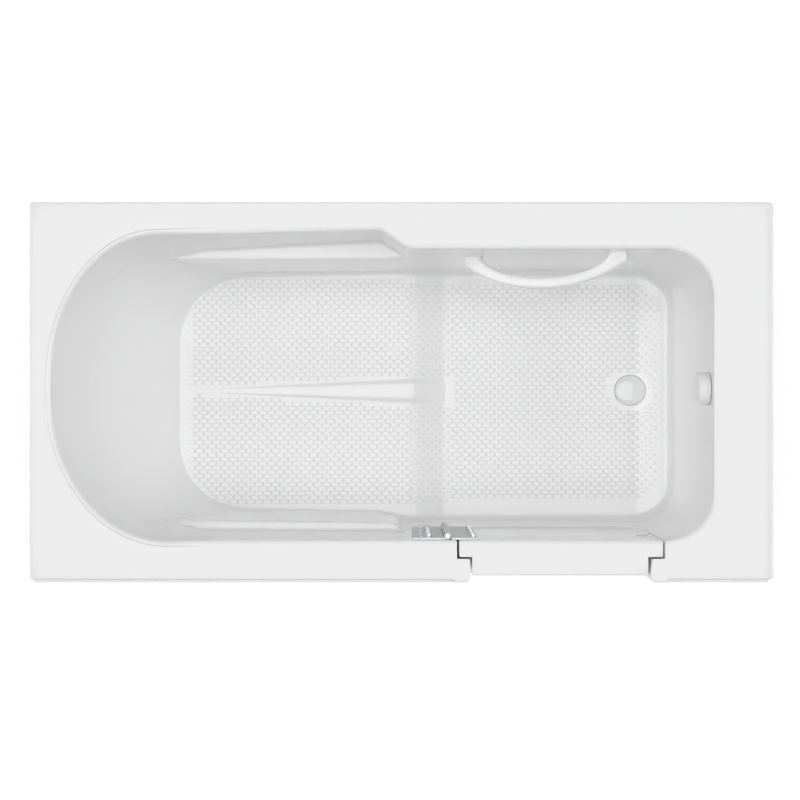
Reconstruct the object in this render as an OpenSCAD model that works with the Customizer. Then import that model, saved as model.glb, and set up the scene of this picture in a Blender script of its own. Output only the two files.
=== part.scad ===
// Bathtub for an alcove with a low step-in door, a seat and a footwell.
// The origin is on the floor under the middle of the tub. X runs along the tub, with the drain
// end at +X. Y runs from the door side to the wall behind. Z is up. Sizes are in millimetres.

/* [Overall] */
// Length of the deck
tub_l = 1524; // [1480:4:1600]
// Depth from the back of the deck to the front of the skirt
tub_w = 780; // [770:2:810]
// Height of the deck above the floor
deck_h = 560; // [550:2:600]
// Depth of the turned-down lip round the deck
lip_h = 42; // [34:2:54]
// Thickness of the moulded walls
wall_t = 6; // [5:0.5:7]
// Thickness of the moulded floor
floor_t = 10; // [9:0.5:12]

/* [Basin] */
// Width of the deck at the backrest end
deck_left = 45; // [40:1:56]
// Width of the deck at the drain end
deck_right = 121; // [110:1:130]
// Width of the deck along the wall
deck_back = 95; // [88:1:104]
// Width of the deck along the front
deck_front = 81; // [78:1:86]
// Height of the footwell's floor above the ground
floor_h = 85; // [80:1:100]
// Height of the seat above the footwell
seat_rise = 40; // [30:1:60]
// Distance from the drain end wall to the foot of the seat
foot_l = 533; // [520:1:545]
// Run of the ramp from the seat to the footwell
seat_ramp = 83; // [70:1:95]
// Run of the ramp at the drain end
end_ramp = 68; // [60:1:76]
// Rise of the ramp at the drain end
end_rise = 26; // [16:1:34]
// How far the basin's wall leans in from the deck to the floor
wall_lean = 6; // [3:1:9]
// Radius of the rolled edge between the deck and the basin
edge_r = 9; // [7:0.5:11]
// Height of the raised roll behind the head
roll_h = 4; // [2:0.5:6]
// Horizontal run of the backrest
back_run = 198; // [180:2:215]
// Radius between the walls and the floor
cove_r = 18; // [14:1:24]
// How far the wall behind the back armrest is set out
bay_d = 39; // [34:1:44]
// Depth of the armrests below the deck
arm_drop = 175; // [160:1:190]
// Width of the front armrest
arm_front_w = 22; // [16:1:26]
// Height of the wedge on the seat where it is highest
wedge_h = 12; // [8:1:16]
// Width across the top of the wedge where it is widest
wedge_top_w = 32; // [24:1:40]
// Width across the foot of the wedge where it is widest
wedge_foot_w = 58; // [50:1:66]

/* [Door] */
// Distance from the foot of the seat's ramp to the opening
opening_step = 6; // [4:1:14]
// Distance from the drain end wall to the opening
opening_end = 101; // [96:1:112]
// Depth of the opening's sill below the deck
sill_drop = 327; // [310:1:340]
// Width of the rebate that the door closes against
rebate_w = 27; // [24:1:30]
// Depth of the rebate from the basin's wall
rebate_d = 38; // [34:0.5:42]
// Thickness of the door
door_t = 72; // [68:0.5:74]
// Gap between the door's edges and the opening
door_gap = 4; // [3.5:0.25:5]
// Clearance between the closed door and its seal
seal_gap = 0.3; // [0.3:0.05:0.6]
// Thickness of the door's moulded skin
skin_t = 5; // [4:0.5:6]
// Radius of the opening's lower corners
corner_r = 84; // [70:1:96]

/* [Hinge] */
// Height of the hinge
hinge_h = 270; // [240:5:280]
// Radius of the knuckles
knuckle_r = 7; // [6.5:0.25:7.5]
// Radius of the hinge pin
pin_r = 4; // [3.5:0.25:4.5]
// Radial clearance of pins and shafts in their holes
run_gap = 0.05; // [0.03:0.01:0.08]
// Thickness of the leaves
leaf_t = 3.6; // [3:0.2:4]
// Number of knuckles, an odd number
knuckles = 5; // [3:2:7]

/* [Latch] */
// Depth of the latch bolt below the deck
bolt_drop = 112; // [100:1:130]
// Radius of the latch bolt
bolt_r = 5; // [4.5:0.25:5.5]
// Travel of the latch bolt
bolt_travel = 14; // [12:0.5:15]
// Radius of the thumb-turn
turn_r = 13; // [11:0.5:15]
// Height of the thumb-turn's grip above the door
turn_grip = 5; // [4:0.5:10]
// Teeth round the pinion that drives the bolt
teeth = 14; // [12:1:16]

/* [Grab bar] */
// Radius of the grab bar
bar_r = 12; // [11:0.5:14]
// Distance between the middles of the bar's ends
bar_span = 322; // [300:2:340]
// How far the middle of the bar stands off the wall
bar_bow = 60; // [56:1:64]
// Slope of the bar, in degrees
bar_slope = 21; // [15:1:25]

/* [Waste and overflow] */
// Radius of the drain's round recess
recess_r = 36; // [34:0.5:38]
// Distance of the drain from the drain end wall
drain_end = 99; // [92:1:106]
// Lift of the drain cap
cap_lift = 10; // [6:1:12]
// Outer radius of the waste pipes
pipe_r = 20; // [18:0.5:21]
// Wall of the waste pipes
pipe_wall = 2.5; // [2:0.25:3]
// Depth of the overflow below the deck
overflow_drop = 60; // [56:1:70]
// Radius of the overflow's face
overflow_r = 35; // [33:0.5:38]

/* [Frame] */
// Width of the square frame tubes
tube_w = 30; // [25:1:32]
// Wall of the frame tubes
tube_wall = 2; // [1.5:0.5:3]
// Height of the base rails above the floor
rail_z = 35; // [33:1:36]
// Radius of the foot pads
foot_r = 25; // [20:1:30]
// Length of the board under the seat
board_l = 430; // [380:5:440]
// Distance from the board under the seat to the walls
board_side = 70; // [50:5:90]

/* [Hidden] */
$fn = 48;
eps = 0.01;

// Colours
c_white = [0.94, 0.94, 0.94];
c_steel = [0.62, 0.63, 0.65];
c_chrome = [0.80, 0.81, 0.83];
c_black = [0.08, 0.08, 0.08];
c_grey = [0.45, 0.45, 0.47];
c_wood = [0.72, 0.58, 0.40];

// Places of the main surfaces
apron_proud = 6;
x_end = tub_l / 2;
y_back = tub_w / 2;
y_front = -tub_w / 2;
y_deck = y_front + apron_proud;
in_l = -x_end + deck_left;
in_r = x_end - deck_right;
in_b = y_back - deck_back;
in_f = y_deck + deck_front;
floor_z = floor_h;
seat_z = floor_z + seat_rise;
arm_z = deck_h - arm_drop;
wall_x = in_r - wall_lean - 2;
foot_x = in_r - foot_l;
seat_x = foot_x - seat_ramp;
ramp_x = wall_x - cove_r - end_ramp;
wedge_y = (in_b + in_f) / 2 + 10;
wedge_x = seat_x - 508;

// Places on the door and its opening
jamb_r = in_r - opening_end;
jamb_l = foot_x + opening_step;
sill_z = deck_h - sill_drop;
rebate_y = in_f - rebate_d;
door_y = in_f - door_t;
flange_y = rebate_y + 4;
axis_x = jamb_l - 19;
axis_y = in_f + knuckle_r + 0.3;
frame_l = axis_x - 81;
frame_r = jamb_r + 26;
frame_z = sill_z - 30;
leaf_y = in_f + 0.3;
hinge_z = deck_h - 12 - hinge_h;
knuckle_gap = 0.8;
knuckle_h = (hinge_h - knuckle_gap * (knuckles - 1)) / knuckles;
tub_leaf_x = axis_x - 72;
door_leaf_x = axis_x + 62;

tub_bolt_x = axis_x - 38;
tub_screw_x = axis_x - 54;
door_bolt_x = axis_x + 53;
bolt_rows = [for (i = [0 : 3]) hinge_z + hinge_h * (i + 0.5) / 4];
screw_rows = [for (i = [0 : 3]) hinge_z + hinge_h * (i + 0.5) / 4 + 16];

// The door's plug is narrower than its flange. The wall of the narrow opening on the latch side
// is set back, so that the plug's outer corner clears it as the door swings.
door_r = jamb_r - door_gap;
door_l = jamb_l + door_gap;
narrow_l = door_l + rebate_w - 0.5;
narrow_r = door_r - rebate_w - 3;
swing_x = axis_x + sqrt(pow(narrow_r - axis_x, 2) + pow(door_y - axis_y, 2)
    - pow(flange_y - axis_y, 2)) + 2;
flange_front = y_front + 0.4;
panel_t = 5;
seat_back = door_y + panel_t + 4.2;
upright_w = 28;
upright_x = [narrow_l + skin_t + 0.3, narrow_r - skin_t - upright_w - 0.3];
panel_screw_at = [for (x = upright_x, z = [sill_z + 110, deck_h - 30]) [x + upright_w / 2, z]];

// Places of the latch
bolt_z = deck_h - bolt_drop;
bolt_y = (in_f + flange_y) / 2;
bolt_tip = door_r + 2.4;
bolt_l = 62;
pinion_r = bolt_travel / (PI / 2);
shaft_r = 4;
turn_x = door_r - 22;
turn_z = bolt_z - bolt_r - pinion_r;
strike_t = 2;

// Places of the grab bar
bar_arc_r = (pow(bar_span / 2, 2) + pow(bar_bow, 2)) / (2 * bar_bow);
bar_mid_x = axis_x + 210;
bar_mid_z = deck_h - 116;
bar_wall_y = in_b - 2.5;
bar_bolt_r = 4;
bar_ends = [for (s = [-1, 1]) [bar_mid_x + s * bar_span / 2 * cos(bar_slope),
    bar_mid_z + s * bar_span / 2 * sin(bar_slope)]];

// Places of the waste and overflow
drain_x = in_r - drain_end;
drain_y = wedge_y + 1.5;
drain_hole_r = 25;
recess_z = floor_z - 4.5;
under_z = floor_z - floor_t;
body_r = drain_hole_r - 1;
bore_r = 19;
stem_r = 4;
shoe_top = under_z - 3.4;
shoe_r = body_r + 5;
over_y = drain_y;
over_z = deck_h - overflow_drop;
over_x = in_r;
over_hole_r = 26;
over_bore_r = 21;
face_x = over_x - 3 * (overflow_drop + overflow_r - edge_r) / (arm_drop - edge_r) - 0.25;
gasket_x = over_x + wall_t - 0.2;
elbow_x = gasket_x + 3.7;
elbow_low = over_z - 62;
riser_x = in_r + 42;
pipe_z = 48;
tee_top = pipe_z + 62;
tail_r = 19;
tail_z = 4;
socket_r = pipe_r + 4;

// Places of the frame
rail_top = rail_z + tube_w;
rail_y_f = in_f - 42;
rail_y_b = in_b + 45;
post_x_f = [-x_end + 112, frame_l - 50, x_end - 112];
post_x_b = [-x_end + 112, seat_x + 35, x_end - 112];
foot_list = concat([for (x = post_x_f) [x, rail_y_f]], [for (x = post_x_b) [x, rail_y_b]]);
seat_bar_x = [seat_x - 400, seat_x - 110];
foot_bar_x = [foot_x + 70, foot_x + 310];
plate_t = 4;
post_top = deck_h - wall_t;
stud_r = 6;

// Places of the skirt
apron_t = 5.6;
apron_top = deck_h - 8;
apron_low = 8;
apron_side = 8;
apron_fix_z = rail_z + tube_w / 2;
apron_fix_x = [-x_end + 60, -x_end + 380, frame_l - 70, frame_r - 120, x_end - 60];

// ---- Moulded basin -------------------------------------------------------------------------
// Each level of the basin is a closed outline: half an ellipse at the backrest end, two long
// sides with their own stations, and rounded corners at the drain end. Every level has the same
// number of points, so the wall is lofted from level to level, and the floor is a grid that
// meets the last level point by point.

arc_n = 9;
rows = 7;
runs = 10;
cols = 2 * arc_n + runs;
ring_n = 2 * cols + 2 * rows;
notch_b = [seat_x - 69, seat_x - 14];
notch_f = [seat_x - 35, seat_x - 24];
tip_x = in_l + 217;

function mix(a, b, t) = a + (b - a) * t;
function clamp01(t) = min(1, max(0, t));

// A level: [z, follows the floor, left end x, arc centre x back, front, half of the straight
// left edge, back y list, front y list, right x, right corner radius, notches back, front]
function level(z, follow, xl, cb, cf, half, yb, yf, xr, rr, nb = notch_b, nf = notch_f) =
    [z, follow, xl, cb, cf, half, yb, yf, xr, rr, nb, nf];

// The same level moved outwards by e, at another height
function grown(v, e, z, follow) = [z, follow, v[2] - e, v[3], v[4], v[5],
    [for (y = v[6]) y + e], [for (y = v[7]) y - e], v[8] + e, v[9] + e, v[10], v[11]];

// X of a station on the straight part: stations 0 and runs are the ends of the arcs
function station_x(v, i, c, notch) = let(last = v[8] - v[9])
    i == 0 ? c : i == 1 ? mix(c, notch[0], 0.15) : i == 2 ? mix(c, notch[0], 0.44)
    : i == 3 ? mix(c, notch[0], 0.77) : i == 4 ? notch[0] : i == 5 ? notch[1]
    : i == 6 ? seat_x : i == 7 ? foot_x : mix(foot_x, last, (i - 7) / (runs - 7));

// Y of a station: the armrest swells from its tip to station 1 and ends at the notch
function station_y(y, i) = i == 0 ? y[0] : i == 1 ? y[1] : i == 2 ? mix(y[1], y[2], 0.34)
    : i == 3 ? mix(y[1], y[2], 0.73) : i == 4 ? y[2] : y[3];

function mid_y(v) = (v[6][0] + v[7][0]) / 2;

// The back and front points of a column
function back_point(v, k) = let(s = mid_y(v) + v[5], a = 90 * k / arc_n,
        b = 90 * (cols - k) / arc_n)
    k <= arc_n ? [v[3] - (v[3] - v[2]) * cos(a), s + (v[6][0] - s) * sin(a)]
    : k <= arc_n + runs ? [station_x(v, k - arc_n, v[3], v[10]), station_y(v[6], k - arc_n)]
    : [v[8] - v[9] + v[9] * cos(b), v[6][3] - v[9] + v[9] * sin(b)];
function front_point(v, k) = let(s = mid_y(v) - v[5], a = 90 * k / arc_n,
        b = 90 * (cols - k) / arc_n)
    k <= arc_n ? [v[4] - (v[4] - v[2]) * cos(a), s + (v[7][0] - s) * sin(a)]
    : k <= arc_n + runs ? [station_x(v, k - arc_n, v[4], v[11]), station_y(v[7], k - arc_n)]
    : [v[8] - v[9] + v[9] * cos(b), v[7][3] + v[9] - v[9] * sin(b)];

// Height of the floor without the wedge
function floor_at(x) = x <= seat_x ? seat_z
    : x <= foot_x ? mix(seat_z, floor_z, (x - seat_x) / seat_ramp)
    : x <= ramp_x ? floor_z
    : floor_z + end_rise * min(1, (x - ramp_x) / end_ramp);

// The wedge swells along the seat and runs out at the foot of its ramp
function wedge_part(x) = x < seat_x ? clamp01((x - wedge_x) / (seat_x - wedge_x))
    : clamp01((foot_x - x) / seat_ramp);
function wedge_half(x, w) = 2 + (w / 2 - 2) * (x < seat_x ? wedge_part(x) : 1);

// Y of a floor row between the back and front points of a column
function row_y(x, yb, yf, j) = let(foot = wedge_half(x, wedge_foot_w) + 1,
        top = wedge_half(x, wedge_top_w))
    j == 0 ? yb : j == 1 ? mix(yb, wedge_y + foot, 0.55) : j == 2 ? wedge_y + foot
    : j == 3 ? wedge_y + top : j == 4 ? wedge_y - top : j == 5 ? wedge_y - foot
    : j == 6 ? mix(yf, wedge_y - foot, 0.55) : yf;

// The points of a level, clockwise from above, starting at the back of the left edge
function with_z(v, p, x0) = [p[0], p[1], v[1] ? floor_at(p[0]) + v[0] : v[0] + x0];
function rolled(v, p, roll) = roll * clamp01((tip_x + 110 - p[0]) / 90);
function ring(v, roll = 0) = let(
        b0 = back_point(v, 0), f0 = front_point(v, 0),
        b1 = back_point(v, cols), f1 = front_point(v, cols))
    concat(
        [for (k = [0 : cols - 1]) let(p = back_point(v, k)) with_z(v, p, rolled(v, p, roll))],
        [for (j = [0 : rows - 1]) with_z(v, [b1[0], mix(b1[1], f1[1], j / rows)], 0)],
        [for (k = [cols : -1 : 1]) let(p = front_point(v, k)) with_z(v, p, rolled(v, p, roll))],
        [for (j = [rows : -1 : 1]) with_z(v, [b0[0], mix(b0[1], f0[1], j / rows)], roll)]);

// The inner points of a floor grid, drop below the floor
function floor_inner(v, drop, wedge) = [for (k = [1 : cols - 1], j = [1 : rows - 1])
    let(b = back_point(v, k), f = front_point(v, k), x = mix(b[0], f[0], j / rows))
    [x, row_y(x, b[1], f[1], j),
        floor_at(x) - drop + (wedge && (j == 3 || j == 4) ? wedge_h * wedge_part(x) : 0)]];

// Index of a grid point: on the edge it is a point of the ring that starts at first
function grid_at(k, j, first, inner) = j == 0 ? first + k
    : k == cols ? first + cols + j
    : j == rows ? first + cols + rows + cols - k
    : k == 0 ? first + 2 * cols + 2 * rows - j
    : inner + (k - 1) * (rows - 1) + j - 1;
function grid_faces(first, inner, up) = [for (k = [0 : cols - 1], j = [0 : rows - 1])
    let(a = grid_at(k, j, first, inner), b = grid_at(k + 1, j, first, inner),
        c = grid_at(k + 1, j + 1, first, inner), d = grid_at(k, j + 1, first, inner))
    each (up ? [[a, b, c], [a, c, d]] : [[a, c, b], [a, d, c]])];
function band_faces(n) = [for (r = [0 : n - 2], i = [0 : ring_n - 1])
    let(a = r * ring_n + i, b = r * ring_n + (i + 1) % ring_n)
    each [[a, b, b + ring_n], [a, b + ring_n, a + ring_n]]];

// Levels of the basin's inner surface
v_open = level(deck_h - edge_r, false, in_l, tip_x, tip_x + 20, 12,
    [in_b + 27, in_b + 29, in_b + bay_d, in_b], [in_f, in_f, in_f, in_f], in_r, 100);
v_arm_out = level(arm_z, false, in_l + 77, tip_x, tip_x, 50,
    [in_b - 5, in_b + 14, in_b + bay_d - 5, in_b - 2],
    [in_f + 26, in_f + 5, in_f + 4, in_f], in_r - 3, 97);
v_arm_in = level(arm_z - 2, false, in_l + 78, tip_x, tip_x, 50,
    [in_b - 6, in_b - 6, in_b - 4, in_b - 2.2],
    [in_f + 26, in_f + 26, in_f + arm_front_w, in_f], in_r - 3.2, 96, notch_b, notch_f);
v_arm_edge = level(arm_z - 8, false, in_l + 79, tip_x, tip_x, 50,
    [in_b - 7, in_b - 7, in_b - 5, in_b - 2.3],
    [in_f + 27, in_f + 27, in_f + arm_front_w + 1, in_f], in_r - 3.3, 96, notch_b, notch_f);
v_sill = level(sill_z - 4, false, in_l + 139, tip_x + 60, tip_x + 60, 85,
    [in_b - 12, in_b - 11, in_b - 9, in_b - 4],
    [in_f + 30, in_f + 29, in_f + 24, in_f], in_r - 5.5, 92);
v_low = level(cove_r + 10, true, in_l + back_run - cove_r, tip_x + 125, tip_x + 125, 108,
    [in_b - 14, in_b - 11, in_b - 8, in_b - wall_lean + 1],
    [in_f + 20, in_f + 18, in_f + 17, in_f + 3], wall_x + 1, 88, notch_b, notch_b);
v_cove = level(0, true, in_l + back_run, tip_x + 132, tip_x + 132, 112,
    [in_b - 30, in_b - 26, in_b - 17, in_b - wall_lean - cove_r + 1],
    [in_f + 36, in_f + 34, in_f + 30, in_f + 20], wall_x - cove_r, end_ramp, notch_b, notch_b);
v_mid = level(cove_r * 0.32, true, in_l + back_run - cove_r * 0.6, tip_x + 130, tip_x + 130, 111,
    [in_b - 19, in_b - 16, in_b - 11, in_b - wall_lean - cove_r * 0.3 + 1],
    [in_f + 25, in_f + 23, in_f + 21, in_f + 8], wall_x - cove_r * 0.3, end_ramp + cove_r * 0.7,
    notch_b, notch_b);
v_deck = level(deck_h, false, -x_end, -x_end + 8, -x_end + 8, y_back - 10,
    [y_back, y_back, y_back, y_back], [y_deck, y_deck, y_deck, y_deck], x_end, 8);

module tub_shell() {
    t = wall_t;
    rings = [
        // Underside, from the floor outwards to the lip
        ring(grown(v_cove, 0, -floor_t, true)),
        ring(grown(v_low, t, v_low[0] - floor_t, true)),
        ring(grown(v_sill, t, v_sill[0], false)),
        ring(grown(v_arm_in, t, arm_z - 2 - t, false)),
        ring(grown(v_arm_out, t, arm_z - t, false)),
        ring(grown(v_open, t, deck_h - t, false)),
        ring(grown(v_deck, -t, deck_h - t, false)),
        ring(grown(v_deck, -t, deck_h - lip_h, false)),
        // Outside of the lip, deck, rolled edge and basin, down to the floor
        ring(grown(v_deck, 0, deck_h - lip_h, false)),
        ring(grown(v_deck, 0, deck_h - 4, false)),
        ring(grown(v_deck, -1.2, deck_h - 1.2, false)),
        ring(grown(v_deck, -4, deck_h, false)),
        ring(grown(v_open, edge_r + 5, deck_h, false)),
        ring(grown(v_open, edge_r, deck_h, false), roll_h),
        ring(grown(v_open, edge_r * 0.4, deck_h - edge_r * 0.2, false), roll_h),
        ring(grown(v_open, edge_r * 0.08, deck_h - edge_r * 0.6, false), roll_h / 2),
        ring(v_open),
        ring(v_arm_out),
        ring(v_arm_in),
        ring(v_arm_edge),
        ring(v_sill),
        ring(v_low),
        ring(v_mid),
        ring(v_cove)];
    n = len(rings);
    points = concat([for (r = rings) each r], floor_inner(grown(v_cove, 0, 0, true), floor_t, false),
        floor_inner(v_cove, 0, true));
    inner_n = (cols - 1) * (rows - 1);
    faces = concat(grid_faces(0, n * ring_n, false), band_faces(n),
        grid_faces((n - 1) * ring_n, n * ring_n + inner_n, true));
    color(c_white) difference() {
        polyhedron(points = points, faces = faces, convexity = 8);
        frame_cut();
        translate([drain_x, drain_y, recess_z]) cylinder(r = recess_r, h = 60);
        translate([drain_x, drain_y, 0]) cylinder(r = drain_hole_r, h = deck_h / 2);
        translate([over_x - 20, over_y, over_z]) rotate([0, 90, 0]) cylinder(r = over_hole_r, h = 40);
        for (p = bar_ends)
            translate([p[0], in_b - 12, p[1]]) rotate([-90, 0, 0])
                cylinder(r = bar_bolt_r + 0.5, h = 40);
    }
}
// The stepped frame takes the place of the basin's wall and deck round the door
module frame_cut() {
    translate([frame_l, y_deck - 20, frame_z])
        cube([frame_r - frame_l, in_f - y_deck + 21, deck_h]);
}

// ---- Door opening --------------------------------------------------------------------------
// A prism along Y of the opening's outline, with rounded lower corners. x0 and x1 are its
// sides, z0 its foot, r its corner radius, and it is open above.
module opening_prism(x0, x1, z0, r, y0, y1, top = deck_h + 40) {
    translate([0, y1, 0]) rotate([90, 0, 0]) linear_extrude(y1 - y0) {
        translate([x0, z0 + r]) square([x1 - x0, top - z0 - r]);
        translate([x0 + r, z0]) square([x1 - x0 - 2 * r, r + eps]);
        translate([x0 + r, z0 + r]) circle(r, $fn = 96);
        translate([x1 - r, z0 + r]) circle(r, $fn = 96);
    }
}
// Rebated part, moved inwards by e
module wide_prism(e, y0, y1, top = deck_h + 40) {
    opening_prism(jamb_l + e, jamb_r - e, sill_z + e, corner_r - e, y0, y1, top);
}
// Narrow part, moved inwards by e
module narrow_prism(e, y0, y1, top = deck_h + 40) {
    opening_prism(jamb_l + rebate_w + e, swing_x - e, sill_z + rebate_w - 1 + e,
        corner_r - rebate_w - e, y0, y1, top);
}
// Cutter that rounds the edge between the deck and the basin's side
module edge_cutter(x0, x1) {
    translate([x0, in_f, deck_h]) rotate([90, 0, 90]) linear_extrude(x1 - x0) difference() {
        translate([-edge_r, -edge_r]) square([edge_r + 1, edge_r + 1]);
        translate([-edge_r, -edge_r]) circle(edge_r, $fn = 64);
    }
}

module frame_outer() {
    difference() {
        translate([frame_l, y_deck, frame_z])
            cube([frame_r - frame_l, in_f - y_deck, deck_h - frame_z]);
        edge_cutter(frame_l - 1, frame_r + 1);
    }
    // Flange that stands in the skirt's opening, flush with the skirt
    intersection() {
        wide_prism(-1, flange_front, y_deck + 1, deck_h);
        translate([frame_l, flange_front, frame_z]) cube([frame_r, 40, deck_h - frame_z]);
    }
}
module narrow_opening() {
    x0 = jamb_l + rebate_w;
    z0 = sill_z + rebate_w - 1;
    opening_prism(x0, narrow_r + 4, z0, corner_r - rebate_w, y_front - 10, rebate_y + 1);
    translate([0, 0, z0 + corner_r - rebate_w]) linear_extrude(deck_h) polygon([
        [jamb_r - 3 * rebate_w, rebate_y + 1], [swing_x, rebate_y + 1],
        [narrow_r + 4, door_y], [jamb_r - 3 * rebate_w, door_y]]);
}
// Cutter that rounds the recess's front edge: up both sides, along the sill and round the
// two lower corners
recess_edge_r = 12;
module recess_edge_shape() {
    r = recess_edge_r;
    difference() {
        translate([-1, -1]) square([r + 1, r + 1]);
        translate([r, r]) circle(r);
    }
}
module recess_edge_cutter() {
    x0 = jamb_l + rebate_w;
    x1 = narrow_r + 4;
    z0 = sill_z + rebate_w - 1;
    r = corner_r - rebate_w;
    translate([x1, flange_front, z0 + r]) linear_extrude(deck_h) recess_edge_shape();
    translate([x0, flange_front, z0 + r]) linear_extrude(deck_h) mirror([1, 0]) recess_edge_shape();
    translate([x0 + r, flange_front, z0]) rotate([0, 90, 0])
        linear_extrude(x1 - x0 - 2 * r) recess_edge_shape();
    for (c = [[x1 - r, 0], [x0 + r, 90]])
        translate([c[0], flange_front, z0 + r]) rotate([-90, 0, 0]) rotate([0, 0, c[1]])
            rotate_extrude(angle = 90, $fn = 96) translate([r, 0]) recess_edge_shape();
}
module door_frame() {
    t = wall_t;
    color(c_white) difference() {
        frame_outer();
        wide_prism(0, rebate_y, in_f + 10);
        narrow_opening();
        recess_edge_cutter();
        for (z = bolt_rows)
            translate([tub_bolt_x, in_f - 20, z]) rotate([-90, 0, 0]) cylinder(r = 3.1, h = 22);
        // The hollow behind the moulded faces, open below and at both ends
        difference() {
            translate([frame_l - 1, rebate_y - t, frame_z - 1])
                cube([frame_r - frame_l + 2, rebate_d, deck_h - t - frame_z + 1]);
            wide_prism(-t, rebate_y - t - 1, in_f + 1);
        }
        difference() {
            translate([frame_l - 1, y_deck + t, frame_z - 1])
                cube([frame_r - frame_l + 2, rebate_y - y_deck - 2 * t + eps,
                    deck_h - t - frame_z + 1]);
            narrow_prism(-t - recess_edge_r / 2, y_front - 10, rebate_y + 1);
        }
        strike_cut();
    }
}
// Pocket for the strike plate, and the hole that the bolt enters
module strike_cut() {
    translate([jamb_r - 1, bolt_y - 13.2, bolt_z - 26.2]) cube([strike_t + 1, 26.4, 52.4]);
    translate([jamb_r - 1, bolt_y, bolt_z]) rotate([0, 90, 0]) cylinder(r = bolt_r + 1.2, h = 40);
}
module strike_plate() {
    color(c_chrome) difference() {
        translate([jamb_r, bolt_y - 13, bolt_z - 26]) cube([strike_t, 26, 52]);
        translate([jamb_r - 1, bolt_y, bolt_z]) rotate([0, 90, 0]) cylinder(r = bolt_r + 0.8, h = 10);
        for (s = [-1, 1])
            translate([jamb_r - 1, bolt_y, bolt_z + s * 18]) rotate([0, 90, 0])
                cylinder(r = 2.2, h = 10);
    }
}
module strike_screws() {
    color(c_chrome) for (s = [-1, 1])
        translate([jamb_r + 0.1, bolt_y, bolt_z + s * 18]) rotate([0, 90, 0])
            cylinder(r = 2, h = strike_t - 0.1);
}
module door_gasket() {
    color(c_black) difference() {
        narrow_prism(-18, rebate_y, flange_y - seal_gap, deck_h - 7);
        narrow_prism(-6, rebate_y - 1, flange_y + 1);
        // A groove along the middle makes the two lips of the seal
        difference() {
            narrow_prism(-14, flange_y - seal_gap - 1.6, flange_y + 1);
            narrow_prism(-10, flange_y - seal_gap - 2, flange_y + 2);
        }
    }
}

// ---- Door ----------------------------------------------------------------------------------
module plug_prism(e, y0, y1) {
    opening_prism(narrow_l + e, narrow_r - e, sill_z + rebate_w + door_gap - 1 + e,
        corner_r - rebate_w - e, y0, y1, deck_h - e);
}
module door_solid(e) {
    wide_prism(door_gap + e, flange_y + e, in_f - e, deck_h - e);
    plug_prism(e, door_y - e, flange_y + e + eps);
}
module door_shell() {
    color(c_white) difference() {
        door_solid(0);
        edge_cutter(door_l - 1, door_r + 1);
        difference() {
            door_solid(skin_t);
            // Ledge behind the front panel
            difference() {
                translate([narrow_l, door_y + panel_t + 0.2, sill_z])
                    cube([narrow_r - narrow_l, seat_back - door_y - panel_t - 0.2, deck_h]);
                plug_prism(skin_t + 5, door_y, seat_back + 1);
            }
        }
        // Hole of the latch bolt through the door's edge, and of the thumb-turn's shaft
        translate([door_r - 30, bolt_y, bolt_z]) rotate([0, 90, 0])
            cylinder(r = bolt_r + run_gap, h = 40);
        translate([turn_x, in_f + 10, turn_z]) rotate([90, 0, 0])
            cylinder(r = shaft_r + run_gap, h = 22);
        for (z = bolt_rows)
            translate([door_bolt_x, in_f + 10, z]) rotate([90, 0, 0]) cylinder(r = 3.1, h = 22);
    }
}

module door_front_panel() {
    color(c_white) difference() {
        plug_prism(skin_t + 0.2, door_y, door_y + panel_t);
        for (p = panel_screw_at)
            translate([p[0], door_y - 1, p[1]]) rotate([-90, 0, 0]) cylinder(r = 2.2, h = 10);
    }
}
module door_panel_screws() {
    color(c_white) for (p = panel_screw_at)
        translate([p[0], door_y - 1.6, p[1]]) rotate([-90, 0, 0]) {
            cylinder(r1 = 3, r2 = 5, h = 1.5);
            translate([0, 0, 1.5 - eps]) cylinder(r = 2.1, h = 14);
        }
}
// Steel uprights inside the door carry the hinge and the latch case
module door_uprights() {
    z0 = sill_z + corner_r + 6;
    color(c_steel) difference() {
        for (x = upright_x)
            translate([x, seat_back + 0.2, z0]) difference() {
                cube([upright_w, 20, deck_h - skin_t - 0.3 - z0]);
                translate([2, 2, -1]) cube([upright_w - 4, 16, deck_h]);
            }
        for (p = panel_screw_at)
            translate([p[0], door_y, p[1]]) rotate([-90, 0, 0]) cylinder(r = 2.15, h = 16);
    }
}

// ---- Hinge ---------------------------------------------------------------------------------
module knuckle_set(first) {
    for (i = [first : 2 : knuckles - 1])
        translate([axis_x, axis_y, hinge_z + i * (knuckle_h + knuckle_gap)])
            cylinder(r = knuckle_r, h = knuckle_h);
}
module pin_hole() {
    translate([axis_x, axis_y, 0]) cylinder(r = pin_r + run_gap, h = deck_h);
}
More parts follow.
